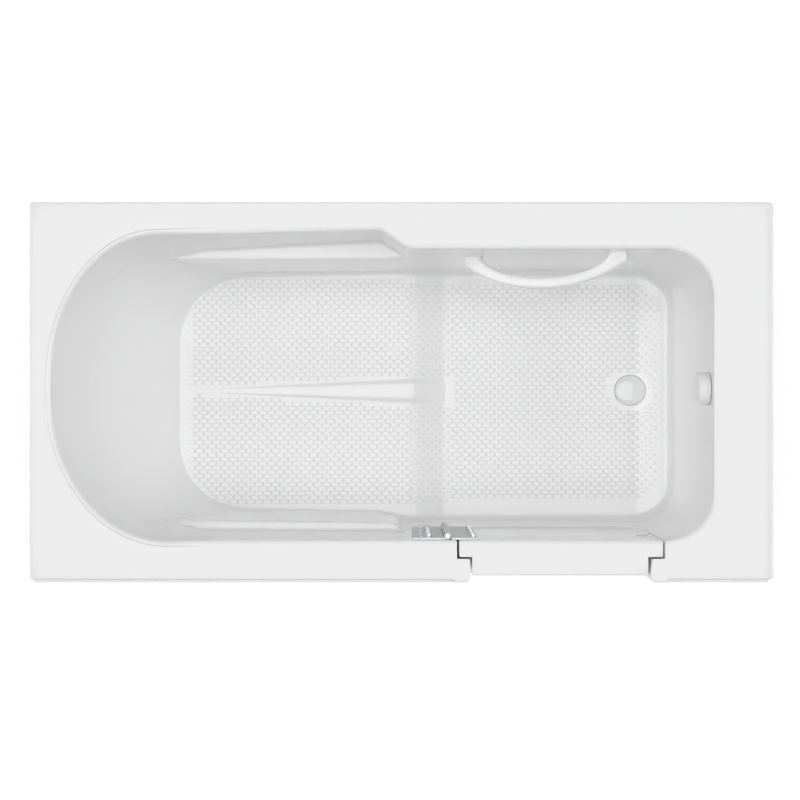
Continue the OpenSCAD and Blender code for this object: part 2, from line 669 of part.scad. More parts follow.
// Room for the other leaf's knuckles
module knuckle_room(first) {
    for (i = [first : 2 : knuckles - 1])
        translate([axis_x - knuckle_r - 1, in_f - 1,
            hinge_z + i * (knuckle_h + knuckle_gap) - knuckle_gap])
            cube([2 * knuckle_r + 2, 40, knuckle_h + 2 * knuckle_gap]);
}
module hinge_tub_leaf() {
    color(c_chrome) difference() {
        union() {
            difference() {
                translate([tub_leaf_x, leaf_y, hinge_z]) cube([axis_x - tub_leaf_x, leaf_t, hinge_h]);
                knuckle_room(1);
            }
            knuckle_set(0);
        }
        pin_hole();
        for (z = bolt_rows)
            translate([tub_bolt_x, in_f - 1, z]) rotate([-90, 0, 0]) cylinder(r = 3.1, h = 10);
        for (z = screw_rows)
            translate([tub_screw_x, in_f - 1, z]) rotate([-90, 0, 0]) cylinder(r = 2.1, h = 10);
    }
}
module hinge_door_leaf() {
    color(c_chrome) difference() {
        union() {
            difference() {
                translate([axis_x, leaf_y, hinge_z]) cube([door_leaf_x - axis_x, leaf_t, hinge_h]);
                knuckle_room(0);
            }
            knuckle_set(1);
        }
        pin_hole();
        for (z = bolt_rows)
            translate([door_bolt_x, in_f - 1, z]) rotate([-90, 0, 0]) cylinder(r = 3.1, h = 10);
    }
}
module hinge_pin() {
    color(c_chrome) translate([axis_x, axis_y, hinge_z]) {
        translate([0, 0, -1]) cylinder(r = pin_r, h = hinge_h + 2);
        translate([0, 0, -2.8]) cylinder(r = knuckle_r - 0.5, h = 2.5);
        translate([0, 0, hinge_h + 0.3]) cylinder(r1 = knuckle_r - 0.5, r2 = pin_r, h = 2.7);
    }
}
module hinge_washers() {
    color(c_grey) for (i = [0 : knuckles - 2])
        translate([axis_x, axis_y, hinge_z + (i + 1) * knuckle_h + i * knuckle_gap + 0.1])
            difference() {
                cylinder(r = knuckle_r - 1, h = knuckle_gap - 0.2);
                translate([0, 0, -1]) cylinder(r = pin_r + run_gap, h = 3);
            }
}
// A bolt through a leaf and a wall: a cap on the basin's side, a shank and a nut behind the wall
module leaf_bolt(x, z, cap_r, wall) {
    translate([x, leaf_y + leaf_t, z]) rotate([-90, 0, 0]) {
        translate([0, 0, 0.1]) cylinder(r = cap_r, h = 3);
        translate([0, 0, 3]) cylinder(r1 = cap_r, r2 = cap_r * 0.55, h = 4.5);
        translate([0, 0, -leaf_t - wall - 6]) cylinder(r = 3, h = leaf_t + wall + 7);
    }
    translate([x, in_f - wall - 0.2, z]) rotate([90, 0, 0]) difference() {
        cylinder(r = 5.8, h = 4.5, $fn = 6);
        translate([0, 0, -1]) cylinder(r = 3.05, h = 8);
    }
}
module hinge_tub_bolts() {
    color(c_chrome) {
        for (z = bolt_rows) leaf_bolt(tub_bolt_x, z, 7.3, wall_t);
        for (z = screw_rows)
            translate([tub_screw_x, leaf_y + 0.1, z]) rotate([-90, 0, 0]) {
                cylinder(r = 2, h = leaf_t + 1);
                translate([0, 0, leaf_t]) cylinder(r1 = 3.6, r2 = 2.4, h = 2);
            }
    }
}
module hinge_door_bolts() {
    color(c_chrome) for (z = bolt_rows) leaf_bolt(door_bolt_x, z, 5.5, skin_t);
}

// ---- Latch ---------------------------------------------------------------------------------
// The thumb-turn's pinion drives a rack on the bolt. The pitch line touches the bolt from below.
gear_m = 2 * pinion_r / teeth;
tip_r = pinion_r + 0.9 * gear_m;
root_r = pinion_r - 1.2 * gear_m;
base_r = pinion_r * cos(20);
flank_gap = 0.08;
rack_w = 6;
pitch_z = turn_z + pinion_r;
rack_x = [for (i = [0 : ceil(bolt_travel / (PI * gear_m))]) turn_x - PI * gear_m * (i + 0.5)];
function involute(a) = tan(a) * 180 / PI - a;
function flank_at(r) = 90 / teeth - flank_gap / pinion_r * 180 / PI + involute(20)
    - (r > base_r ? involute(acos(base_r / r)) : 0);
module pinion_shape() {
    radii = concat([root_r, base_r], [for (i = [1 : 4]) mix(base_r, tip_r, i / 4)]);
    polygon([for (k = [0 : teeth - 1]) let(c = 360 / teeth * k - 90) each concat(
        [for (r = radii) r * [cos(c - flank_at(r)), sin(c - flank_at(r))]],
        [for (i = [len(radii) - 1 : -1 : 0]) let(r = radii[i])
            r * [cos(c + flank_at(r)), sin(c + flank_at(r))]])]);
}
module rack_teeth() {
    half = PI * gear_m / 4 - flank_gap;
    up = 1.2 * gear_m;
    down = 0.85 * gear_m;
    translate([0, bolt_y + rack_w / 2, 0]) rotate([90, 0, 0]) linear_extrude(rack_w)
        for (x = rack_x) polygon([
            [x - half + down * tan(20), pitch_z - down], [x + half - down * tan(20), pitch_z - down],
            [x + half + up * tan(20), pitch_z + up], [x + half + up * tan(20), pitch_z + up + 0.5],
            [x - half - up * tan(20), pitch_z + up + 0.5], [x - half - up * tan(20), pitch_z + up]]);
}
module latch_bolt() {
    cut_l = rack_x[len(rack_x) - 1] - 1.6;
    color(c_chrome) {
        difference() {
            translate([bolt_tip - bolt_l, bolt_y, bolt_z]) rotate([0, 90, 0]) {
                cylinder(r = bolt_r, h = bolt_l - 2);
                translate([0, 0, bolt_l - 2]) cylinder(r1 = bolt_r, r2 = bolt_r - 1.5, h = 2);
            }
            translate([cut_l, bolt_y - 10, pitch_z + 1.2 * gear_m - 10])
                cube([turn_x + 5.6 - cut_l, 20, 10]);
        }
        rack_teeth();
    }
}
module latch_knob() {
    color(c_white) translate([turn_x, in_f + 0.4, turn_z]) rotate([-90, 0, 0]) {
        cylinder(r = turn_r, h = 1.6);
        intersection() {
            cylinder(r = turn_r - 1, h = turn_grip);
            translate([-turn_r, -2.5, 0]) cube([2 * turn_r, 5, turn_grip]);
        }
        translate([0, 0, -22]) cylinder(r = shaft_r, h = 23);
        translate([0, 0, -24]) linear_extrude(12) pinion_shape();
    }
}
module latch_case() {
    cx = door_r - 58;
    y0 = flange_y + skin_t + 0.3;
    y1 = in_f - skin_t - 0.3;
    color(c_steel) difference() {
        translate([cx, y0, turn_z - 16]) cube([door_r - skin_t - 0.3 - cx, y1 - y0, 40]);
        translate([cx - 1, bolt_y, bolt_z]) rotate([0, 90, 0])
            cylinder(r = bolt_r + run_gap, h = 80);
        translate([turn_x, bolt_y + 20, turn_z]) rotate([90, 0, 0])
            cylinder(r = tip_r + 0.6, h = 40);
        // Way of the rack's teeth
        translate([rack_x[len(rack_x) - 1] - 2.4, bolt_y - rack_w / 2 - 0.3, pitch_z - gear_m - 0.3])
            cube([rack_x[0] + bolt_travel + 4.8 - rack_x[len(rack_x) - 1], rack_w + 0.6, 5]);
    }
}

// ---- Grab bar ------------------------------------------------------------------------------
module bar_place() {
    translate([bar_mid_x, bar_wall_y, bar_mid_z]) rotate([0, -bar_slope, 0]) children();
}
module grab_bar() {
    pad_l = 16;
    pad_w = bar_r * 1.45;
    color(c_white) difference() {
        bar_place() {
            intersection() {
                translate([0, bar_arc_r - bar_bow, 0]) rotate_extrude($fn = 180)
                    translate([bar_arc_r, 0]) circle(bar_r);
                translate([-bar_span, -bar_span, -bar_r * 2]) cube([bar_span * 2, bar_span, bar_r * 4]);
            }
            for (s = [-1, 1])
                translate([s * bar_span / 2, -pad_l, 0]) rotate([-90, 0, 0])
                    cylinder(r1 = pad_w - 2, r2 = pad_w, h = pad_l);
        }
        for (p = bar_ends)
            translate([p[0], bar_wall_y - pad_l + 2, p[1]]) rotate([-90, 0, 0])
                cylinder(r = bar_bolt_r + 0.1, h = 40);
    }
}
module grab_bar_bolts() {
    color(c_chrome) for (p = bar_ends)
        translate([p[0], bar_wall_y - 12, p[1]]) rotate([-90, 0, 0]) {
            cylinder(r = bar_bolt_r, h = 36);
            translate([0, 0, 24.2]) cylinder(r = 7.5, h = 6, $fn = 6);
        }
}
module grab_bar_plates() {
    color(c_steel) for (p = bar_ends)
        translate([p[0], in_b + wall_t + 0.6, p[1]]) rotate([-90, 0, 0]) difference() {
            cylinder(r = 26, h = 3);
            translate([0, 0, -1]) cylinder(r = bar_bolt_r + 0.1, h = 6);
        }
}

// ---- Waste ---------------------------------------------------------------------------------
module drain_body() {
    color(c_chrome) translate([drain_x, drain_y, 0]) difference() {
        union() {
            translate([0, 0, recess_z]) cylinder(r = recess_r - 3, h = 2.5);
            translate([0, 0, under_z - 22]) cylinder(r = body_r, h = recess_z - under_z + 23);
        }
        difference() {
            translate([0, 0, 0]) cylinder(r = bore_r, h = deck_h);
            // Cross bars that guide the cap's stem
            translate([0, 0, recess_z - 8]) for (a = [0, 90])
                rotate(a) translate([-bore_r - 1, -1.5, 0]) cube([2 * bore_r + 2, 3, 5]);
            translate([0, 0, recess_z - 12]) cylinder(r = stem_r + 3, h = 9);
        }
        cylinder(r = stem_r + run_gap, h = deck_h);
    }
}
// The cap follows the floor: level at first, then rising with the ramp
module drain_stopper() {
    cap_r = recess_r - 3;
    cap_z = recess_z + 2.8;
    top_z = floor_z + 4;
    tilt_x = ramp_x - drain_x;
    rise = end_rise / end_ramp;
    color(c_white) translate([drain_x, drain_y, 0]) {
        intersection() {
            translate([0, 0, cap_z]) cylinder(r = cap_r, h = 60);
            rotate([90, 0, 0]) linear_extrude(2 * cap_r + 2, center = true) polygon([
                [-cap_r - 1, cap_z], [-cap_r - 1, top_z - 3], [-cap_r + 7, top_z],
                [tilt_x, top_z], [cap_r + 1, top_z + (cap_r + 1 - tilt_x) * rise],
                [cap_r + 1, cap_z]]);
        }
        translate([0, 0, recess_z - 14 - cap_lift]) cylinder(r = stem_r, h = 20 + cap_lift);
    }
}
module drain_gasket() {
    color(c_black) translate([drain_x, drain_y, under_z - 3.2]) difference() {
        cylinder(r = body_r + 10, h = 3);
        translate([0, 0, -1]) cylinder(r = body_r + 0.1, h = 6);
    }
}
module drain_shoe() {
    color(c_grey) difference() {
        union() {
            translate([drain_x, drain_y, pipe_z - socket_r])
                cylinder(r = shoe_r, h = shoe_top - pipe_z + socket_r);
            translate([drain_x, drain_y, shoe_top - 4]) cylinder(r = body_r + 10, h = 4);
            translate([drain_x, drain_y, pipe_z]) rotate([0, 90, 0])
                cylinder(r = socket_r, h = 62);
        }
        translate([drain_x, drain_y, shoe_top]) cylinder(r = body_r + 14, h = 10);
        translate([drain_x, drain_y, pipe_z]) cylinder(r = body_r + 0.1, h = 60);
        translate([drain_x, drain_y, pipe_z - pipe_r + pipe_wall])
            cylinder(r = bore_r, h = 60);
        translate([drain_x, drain_y, pipe_z]) rotate([0, 90, 0])
            cylinder(r = pipe_r - pipe_wall, h = 80);
        translate([drain_x + 40, drain_y, pipe_z]) rotate([0, 90, 0])
            cylinder(r = pipe_r + run_gap, h = 80);
    }
}
module waste_arm() {
    l = riser_x - 28 - (drain_x + 42);
    color(c_grey) translate([drain_x + 42, drain_y, pipe_z]) rotate([0, 90, 0]) difference() {
        cylinder(r = pipe_r, h = l);
        translate([0, 0, -1]) cylinder(r = pipe_r - pipe_wall, h = l + 2);
    }
}
module waste_tee() {
    color(c_grey) translate([riser_x, drain_y, 0]) difference() {
        union() {
            translate([0, 0, pipe_z - socket_r]) cylinder(r = socket_r, h = tee_top - pipe_z + socket_r);
            translate([-48, 0, pipe_z]) rotate([0, 90, 0]) cylinder(r = socket_r, h = 48);
        }
        translate([0, 0, -1]) cylinder(r = pipe_r - pipe_wall, h = tee_top + 5);
        translate([0, 0, tee_top - 22]) cylinder(r = pipe_r + run_gap, h = 60);
        translate([0, 0, pipe_z - socket_r - 1]) cylinder(r = tail_r + 1.5 + run_gap, h = 12);
        translate([-60, 0, pipe_z]) rotate([0, 90, 0]) cylinder(r = pipe_r - pipe_wall, h = 60);
        translate([-60, 0, pipe_z]) rotate([0, 90, 0]) cylinder(r = pipe_r + run_gap, h = 33);
    }
}
module waste_tailpiece() {
    h = pipe_z - socket_r - tail_z;
    color(c_chrome) translate([riser_x, drain_y, tail_z]) difference() {
        union() {
            cylinder(r = tail_r, h = h + 10);
            // Collar that is held in the tee
            translate([0, 0, h]) cylinder(r = tail_r + 1.5, h = 10);
        }
        translate([0, 0, -1]) cylinder(r = tail_r - 1.5, h = h + 12);
    }
}

// ---- Overflow ------------------------------------------------------------------------------
module overflow_flange() {
    color(c_white) translate([face_x, over_y, over_z]) rotate([0, 90, 0]) difference() {
        union() {
            translate([0, 0, -5]) cylinder(r = overflow_r, h = 5);
            translate([0, 0, -2]) cylinder(r = over_hole_r - 0.3, h = 30);
        }
        translate([0, 0, -1]) cylinder(r = over_bore_r, h = 40);
        translate([0, 0, -7]) cylinder(r = shaft_r + run_gap, h = 20);
        // Slots that take the overflowing water
        for (a = [45 : 90 : 315])
            rotate(a) translate([over_bore_r - 8, 0, -8]) cylinder(r = 4, h = 20);
    }
}
// The turning cap has a slanted face on one side, which serves as its grip
module overflow_knob() {
    cap_l = 20;
    color(c_white) translate([face_x - 5.4, over_y, over_z]) rotate([0, -90, 0]) {
        difference() {
            union() {
                cylinder(r = overflow_r, h = cap_l - 4);
                translate([0, 0, cap_l - 4]) cylinder(r1 = overflow_r, r2 = overflow_r - 4, h = 4);
            }
            translate([0, -overflow_r + 2, cap_l]) rotate([-38, 0, 0])
                translate([-50, -60, -14]) cube([100, 60, 60]);
        }
        translate([0, 0, -24]) cylinder(r = shaft_r, h = 25);
    }
}
module overflow_gasket() {
    color(c_black) translate([gasket_x, over_y, over_z]) rotate([0, 90, 0]) difference() {
        cylinder(r = overflow_r, h = 3.5);
        translate([0, 0, -1]) cylinder(r = over_hole_r, h = 6);
    }
}
module overflow_elbow() {
    depth = riser_x + socket_r - elbow_x;
    color(c_grey) difference() {
        union() {
            translate([elbow_x, over_y, over_z]) rotate([0, 90, 0]) cylinder(r = overflow_r, h = 5);
            translate([elbow_x, over_y, over_z]) rotate([0, 90, 0])
                cylinder(r = over_hole_r + 4, h = depth);
            translate([riser_x, over_y, elbow_low]) cylinder(r = socket_r, h = over_z - elbow_low);
        }
        translate([elbow_x - 1, over_y, over_z]) rotate([0, 90, 0])
            cylinder(r = over_hole_r + 0.1, h = depth - 3);
        translate([riser_x, over_y, elbow_low - 1]) cylinder(r = pipe_r - pipe_wall, h = 66);
        translate([riser_x, over_y, elbow_low - 1]) cylinder(r = pipe_r + run_gap, h = 23);
    }
}
module overflow_pipe() {
    z0 = tee_top - 20;
    h = elbow_low + 20 - z0;
    color(c_grey) translate([riser_x, over_y, z0]) difference() {
        cylinder(r = pipe_r, h = h);
        translate([0, 0, -1]) cylinder(r = pipe_r - pipe_wall, h = h + 2);
    }
}
module slip_nut(h = 16) {
    difference() {
        union() {
            cylinder(r = socket_r + 3, h = h);
            for (a = [0 : 45 : 315])
                rotate(a) translate([socket_r + 2, -3, 0]) cube([4, 6, h]);
        }
        translate([0, 0, -1]) cylinder(r = pipe_r + run_gap, h = h + 2);
    }
}
module slip_nuts() {
    color(c_grey) {
        translate([riser_x, over_y, tee_top + 0.2]) slip_nut();
        translate([riser_x, over_y, elbow_low - 16.2]) slip_nut();
        translate([drain_x + 62.2, drain_y, pipe_z]) rotate([0, 90, 0]) slip_nut(12);
    }
}

// Cable from the overflow's elbow to the drain's shoe, swept along chosen points
cable_r = 3;
cable_way = [
    [riser_x + 6, over_y + over_hole_r + 4.7, over_z], [riser_x + 6, over_y + 46, over_z - 4],
    [riser_x + 6, over_y + 52, over_z - 30], [riser_x + 4, over_y + 50, over_z - 80],
    [riser_x, over_y + 44, over_z - 160], [riser_x - 2, over_y + 42, over_z - 240],
    [riser_x - 3, over_y + 42, over_z - 320], [riser_x - 6, over_y + 42, 132],
    [riser_x - 12, over_y + 42, 98], [riser_x - 28, over_y + 42, 70],
    [riser_x - 54, over_y + 42, 55], [riser_x - 86, over_y + 42, 50],
    [drain_x + 40, over_y + 42, 50], [drain_x + 20, over_y + 41, 50],
    [drain_x + 4, over_y + 39, 50], [drain_x + 2, over_y + 36, 50],
    [drain_x + 1, drain_y + shoe_r + 0.8, 50]];
function unit(v) = v / norm(v);
function cable_dir(i) = let(n = len(cable_way) - 1)
    unit(cable_way[min(n, i + 1)] - cable_way[max(0, i - 1)]);
function cable_ring(i) = let(d = cable_dir(i), s = unit(cross(d, [1, 0.35, 0.2])), u = cross(s, d))
    [for (a = [0 : 45 : 315]) cable_way[i] + cable_r * (cos(a) * s + sin(a) * u)];
module control_cable() {
    n = len(cable_way);
    points = [for (i = [0 : n - 1]) each cable_ring(i)];
    faces = concat([[for (j = [0 : 7]) j]],
        [for (i = [0 : n - 2], j = [0 : 7]) let(a = i * 8 + j, b = i * 8 + (j + 1) % 8)
            each [[a, a + 8, b + 8], [a, b + 8, b]]],
        [[for (j = [7 : -1 : 0]) (n - 1) * 8 + j]]);
    color(c_black) polyhedron(points = points, faces = faces, convexity = 6);
}

// ---- Support frame -------------------------------------------------------------------------
module tube_x(x0, x1, y, z) {
    translate([x0, y - tube_w / 2, z]) difference() {
        cube([x1 - x0, tube_w, tube_w]);
        translate([-1, tube_wall, tube_wall])
            cube([x1 - x0 + 2, tube_w - 2 * tube_wall, tube_w - 2 * tube_wall]);
    }
}
module tube_y(y0, y1, x, z) {
    translate([x - tube_w / 2, y0, z]) difference() {
        cube([tube_w, y1 - y0, tube_w]);
        translate([tube_wall, -1, tube_wall])
            cube([tube_w - 2 * tube_wall, y1 - y0 + 2, tube_w - 2 * tube_wall]);
    }
}
module base_rails() {
    color(c_steel) difference() {
        for (y = [rail_y_f, rail_y_b]) tube_x(-x_end + 40, x_end - 40, y, rail_z);
        for (p = foot_list)
            translate([p[0], p[1], rail_z - 1]) cylinder(r = stud_r + run_gap, h = tube_wall + 2);
    }
}
module seat_crossbars() {
    color(c_steel) for (x = seat_bar_x) tube_y(rail_y_f - tube_w / 2, rail_y_b + tube_w / 2, x, rail_top);
}
module footwell_crossbars() {
    color(c_steel) for (x = foot_bar_x) tube_y(rail_y_f + tube_w / 2, rail_y_b - tube_w / 2, x, rail_z);
}
module seat_board() {
    z0 = rail_top + tube_w;
    color(c_wood) translate([seat_x - 10 - board_l, in_f + board_side, z0])
        cube([board_l, in_b - in_f - 2 * board_side, seat_z - floor_t - z0]);
}
module footwell_board() {
    color(c_wood) translate([foot_x + 20, in_f + 50, rail_top])
        cube([drain_x - 60 - foot_x - 20, in_b - in_f - 100, under_z - rail_top]);
}
module frame_posts() {
    color(c_steel) for (p = foot_list)
        translate([p[0] - tube_w / 2, p[1] - tube_w / 2, rail_top]) difference() {
            cube([tube_w, tube_w, post_top - plate_t - rail_top]);
            translate([tube_wall, tube_wall, -1])
                cube([tube_w - 2 * tube_wall, tube_w - 2 * tube_wall, deck_h]);
        }
}
module post_plates() {
    color(c_steel) for (p = foot_list)
        translate([p[0] - 30, p[1] - 19, post_top - plate_t]) cube([60, 38, plate_t]);
}
module foot_studs() {
    color(c_chrome) for (p = foot_list)
        translate([p[0], p[1], 8]) cylinder(r = stud_r, h = rail_z + tube_wall + 8 - 8);
}
module foot_nuts() {
    color(c_chrome) for (p = foot_list)
        translate([p[0], p[1], rail_z - 8.2]) difference() {
            cylinder(r = 11, h = 8, $fn = 6);
            translate([0, 0, -1]) cylinder(r = stud_r + run_gap, h = 12);
        }
}
module foot_pads() {
    color(c_black) for (p = foot_list)
        translate([p[0], p[1], 0]) difference() {
            union() {
                cylinder(r = foot_r, h = 6);
                translate([0, 0, 6]) cylinder(r1 = foot_r, r2 = stud_r + 5, h = 10);
            }
            translate([0, 0, 8]) cylinder(r = stud_r + run_gap, h = 20);
        }
}

// ---- Skirt ---------------------------------------------------------------------------------
module front_apron() {
    color(c_white) difference() {
        union() {
            // Flat panel with a rounded top edge
            translate([-x_end + apron_side, y_front, apron_low]) rotate([90, 0, 90])
                linear_extrude(tub_l - 2 * apron_side) {
                    square([apron_t, apron_top - apron_low - apron_t / 2]);
                    translate([apron_t / 2, apron_top - apron_low - apron_t / 2])
                        circle(apron_t / 2);
                }
            // Upright ribs behind the panel
            for (x = [-x_end + 40, -x_end + 340, frame_l - 100, frame_r + 60, x_end - 40])
                translate([x - 2, y_front + apron_t - eps, apron_low + 30])
                    cube([4, 10, apron_top - apron_low - lip_h - 40]);
        }
        wide_prism(-2, y_front - 5, y_front + 30);
        for (x = apron_fix_x)
            translate([x, y_front - eps, apron_fix_z]) rotate([-90, 0, 0]) {
                cylinder(r = 2.3, h = 20);
                cylinder(r1 = 4.4, r2 = 2.2, h = 2.4);
            }
    }
}
module apron_brackets() {
    y0 = y_front + apron_t + 0.1;
    y1 = rail_y_f - tube_w / 2;
    color(c_steel) for (x = apron_fix_x) difference() {
        translate([x - 15, y0, apron_fix_z - 12]) union() {
            cube([30, 3, 24]);
            cube([3, y1 - y0, 24]);
            translate([0, y1 - y0 - 3, 0]) cube([30, 3, 24]);
        }
        translate([x, y0 - 1, apron_fix_z]) rotate([-90, 0, 0]) cylinder(r = 2.3, h = 5);
    }
}
module apron_screws() {
    color(c_white) for (x = apron_fix_x)
        translate([x, y_front + 0.1, apron_fix_z]) rotate([-90, 0, 0]) {
            cylinder(r1 = 4.2, r2 = 2.2, h = 2.2);
            cylinder(r = 2.2, h = 14);
        }
}

tub_shell();
door_frame();
front_apron();
apron_brackets();
apron_screws();
base_rails();
seat_crossbars();
footwell_crossbars();
frame_posts();
post_plates();
seat_board();
footwell_board();
foot_studs();
foot_nuts();
foot_pads();
door_gasket();
hinge_tub_leaf();
hinge_tub_bolts();
hinge_pin();
hinge_washers();
strike_plate();
strike_screws();
grab_bar();
grab_bar_bolts();
grab_bar_plates();
drain_body();
drain_gasket();
drain_shoe();
waste_arm();
waste_tee();
waste_tailpiece();
overflow_flange();
overflow_gasket();
overflow_elbow();
overflow_pipe();
slip_nuts();
control_cable();
door_shell();
door_front_panel();
door_uprights();
door_panel_screws();
hinge_door_leaf();
hinge_door_bolts();
latch_case();
latch_bolt();
latch_knob();
overflow_knob();
drain_stopper();
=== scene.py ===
"""Acrylic bathtub with a low step-in door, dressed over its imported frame.

Shapes are worked out in millimetres in the frame of the CAD and put into the meshes in metres.
"""
import bmesh
import bpy
import math
import numpy as np
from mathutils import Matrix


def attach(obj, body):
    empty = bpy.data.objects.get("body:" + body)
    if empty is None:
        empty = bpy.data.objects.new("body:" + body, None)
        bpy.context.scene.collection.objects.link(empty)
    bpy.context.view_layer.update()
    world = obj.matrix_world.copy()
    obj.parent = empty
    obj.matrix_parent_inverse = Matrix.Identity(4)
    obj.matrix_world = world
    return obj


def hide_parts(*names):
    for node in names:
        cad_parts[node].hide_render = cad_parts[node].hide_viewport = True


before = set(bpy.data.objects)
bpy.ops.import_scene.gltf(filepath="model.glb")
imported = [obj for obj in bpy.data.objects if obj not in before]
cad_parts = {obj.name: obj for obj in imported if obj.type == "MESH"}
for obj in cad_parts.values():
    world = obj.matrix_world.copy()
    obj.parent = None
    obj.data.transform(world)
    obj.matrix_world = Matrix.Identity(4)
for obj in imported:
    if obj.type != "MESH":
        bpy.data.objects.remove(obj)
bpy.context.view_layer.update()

# ---- Sizes that the shapes share, in millimetres -----------------------------------------------
MM = 0.001
WELD = 2e-6             # points of one mesh closer than this, in metres, are one point
DECK = 560.0            # height of the deck
LIP = 42.0              # depth of the turned-down lip
X_END, Y_BACK, Y_LIP = 762.0, 390.0, -384.0                 # outer edges of the deck
IN_L, IN_R, IN_B, IN_F = -717.0, 641.0, 295.0, -303.0       # basin's opening, on every side
FLOOR, SEAT, ARM, SILL = 85.0, 125.0, 385.0, 233.0          # heights of the other levels
SEAT_X, FOOT_X, RAMP_X, END_X = 25.0, 108.0, 547.0, 615.0   # where the floor's slope changes
RAMP_H = 26.0           # rise of the ramp at the drain end
TIP_X = -500.0          # start of the long sides, where the backrest's arc ends
EDGE = 9.0              # width of the rolled edge
CREST = math.radians(48)  # the rolled edge turns down this far and then breaks into the wall
BOW = EDGE / math.sin(CREST)
ROLL = 4.0              # height of the roll behind the head
WEDGE_Y, WEDGE_X, WEDGE_H = 6.0, -483.0, 12.0               # middle, tip and height of the wedge
WEDGE_FOOT, WEDGE_TOP = 58, 32                              # its widths at the floor and on top
JAMB_L, JAMB_R, CORNER = 114.0, 540.0, 84.0                 # the door's opening in the basin
REBATE_Y = -341.0       # face that the door closes against
STRIKE_Y, STRIKE_Z = -320, 448                              # middle of the strike plate
DRAIN = (542.0, 7.5)
WINDOW = (104.0, 546.0)  # columns between which the door frame takes the basin's wall
BASIN_WALL, FRAME_WALL = 5.8, 4.5                           # thickness of the mouldings


# ---- Mesh helpers ------------------------------------------------------------------------------
def piece_from(name, points, faces, finish, body, nodes, slot, smooth, part=None):
    """A mesh from points (n, 3) in millimetres and faces, smooth below an angle in degrees. part
    says which finish of a list each face takes."""
    mesh = bpy.data.meshes.new(name)
    mesh.from_pydata((np.asarray(points, float) * MM).tolist(), [], faces)
    mesh.update()
    for one in finish if isinstance(finish, (list, tuple)) else [finish]:
        mesh.materials.append(one)
    if part is not None:
        mesh.polygons.foreach_set("material_index", np.asarray(part, np.int32))
    obj = bpy.data.objects.new(name, mesh)
    bpy.context.scene.collection.objects.link(obj)
    weld(obj)
    shade(obj, smooth)
    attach(obj, body)
    if nodes:
        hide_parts(*nodes)
    return obj


def weld(obj):
    """Merge the points that coincide along seams and poles."""
    work = bmesh.new()
    work.from_mesh(obj.data)
    bmesh.ops.remove_doubles(work, verts=work.verts, dist=WELD)
    bmesh.ops.dissolve_degenerate(work, edges=work.edges, dist=WELD)
    work.to_mesh(obj.data)
    work.free()


def shade(obj, angle):
    """Smooth shading with edges kept sharp where faces meet at more than the angle."""
    work = bmesh.new()
    work.from_mesh(obj.data)
    for face in work.faces:
        face.smooth = True
    limit = math.radians(angle)
    for edge in work.edges:
        edge.smooth = len(edge.link_faces) == 2 and edge.calc_face_angle(0.0) < limit
    work.to_mesh(obj.data)
    work.free()


def grid_faces(rows, cols, wrap=False, first=0, flip=False):
    """Quads of a grid of rows by cols points, closed along the columns where wrap is set."""
    r = np.arange(rows - 1)[:, None]
    c = np.arange(cols if wrap else cols - 1)[None, :]
    d = (c + 1) % cols
    a, b = first + r * cols + c, first + r * cols + d
    quads = np.stack([a, b, b + cols, a + cols], -1).reshape(-1, 4)
    return (quads[:, ::-1] if flip else quads).tolist()


def loft(rings, ends=(True, True), flip=False):
    """Closed rings stacked into a skin, with a flat lid on either end."""
    rings = np.asarray(rings, float)
    n, m = rings.shape[:2]
    faces = grid_faces(n, m, True, 0, flip)
    first, last = list(range(m)), list(range((n - 1) * m, n * m))
    if ends[0]:
        faces.append(first if flip else first[::-1])
    if ends[1]:
        faces.append(last[::-1] if flip else last)
    return rings.reshape(-1, 3), faces


def turned(profile, sides):
    """Rings of a profile of (radius, height) turned about the z axis."""
    profile = np.asarray(profile, float)
    a = np.linspace(0, 2 * np.pi, sides, endpoint=False)[None, :]
    r, h = profile[:, :1], profile[:, 1:2] + 0 * a
    return np.stack([r * np.cos(a), r * np.sin(a), h], -1)


def thickened(obj, thickness):
    """Gives a skin a wall below its faces, whose hidden side and rim show the second finish."""
    wall = obj.modifiers.new("moulded wall", "SOLIDIFY")
    wall.thickness, wall.offset = thickness * MM, -1.0
    wall.material_offset, wall.material_offset_rim = 1, 1


def softened(node, finish, body, width, name=None, segments=2):
    """A merged copy of a CAD node with its edges rounded off, standing for the node."""
    angle = 32              # degrees, beyond which an edge is rounded
    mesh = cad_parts[node].data.copy()
    obj = bpy.data.objects.new(name or node + "_finished", mesh)
    bpy.context.scene.collection.objects.link(obj)
    work = bmesh.new()
    work.from_mesh(mesh)
    bmesh.ops.remove_doubles(work, verts=work.verts, dist=WELD)
    bmesh.ops.dissolve_limit(work, angle_limit=math.radians(1.0), verts=work.verts,
                             edges=work.edges)
    work.to_mesh(mesh)
    work.free()
    mesh.materials.clear()
    mesh.materials.append(finish)
    shade(obj, angle)
    edge = obj.modifiers.new("rounded edges", "BEVEL")
    edge.width, edge.segments, edge.limit_method = width * MM, segments, "ANGLE"
    edge.angle_limit = math.radians(angle)
    edge.harden_normals = True
    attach(obj, body)
    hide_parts(node)


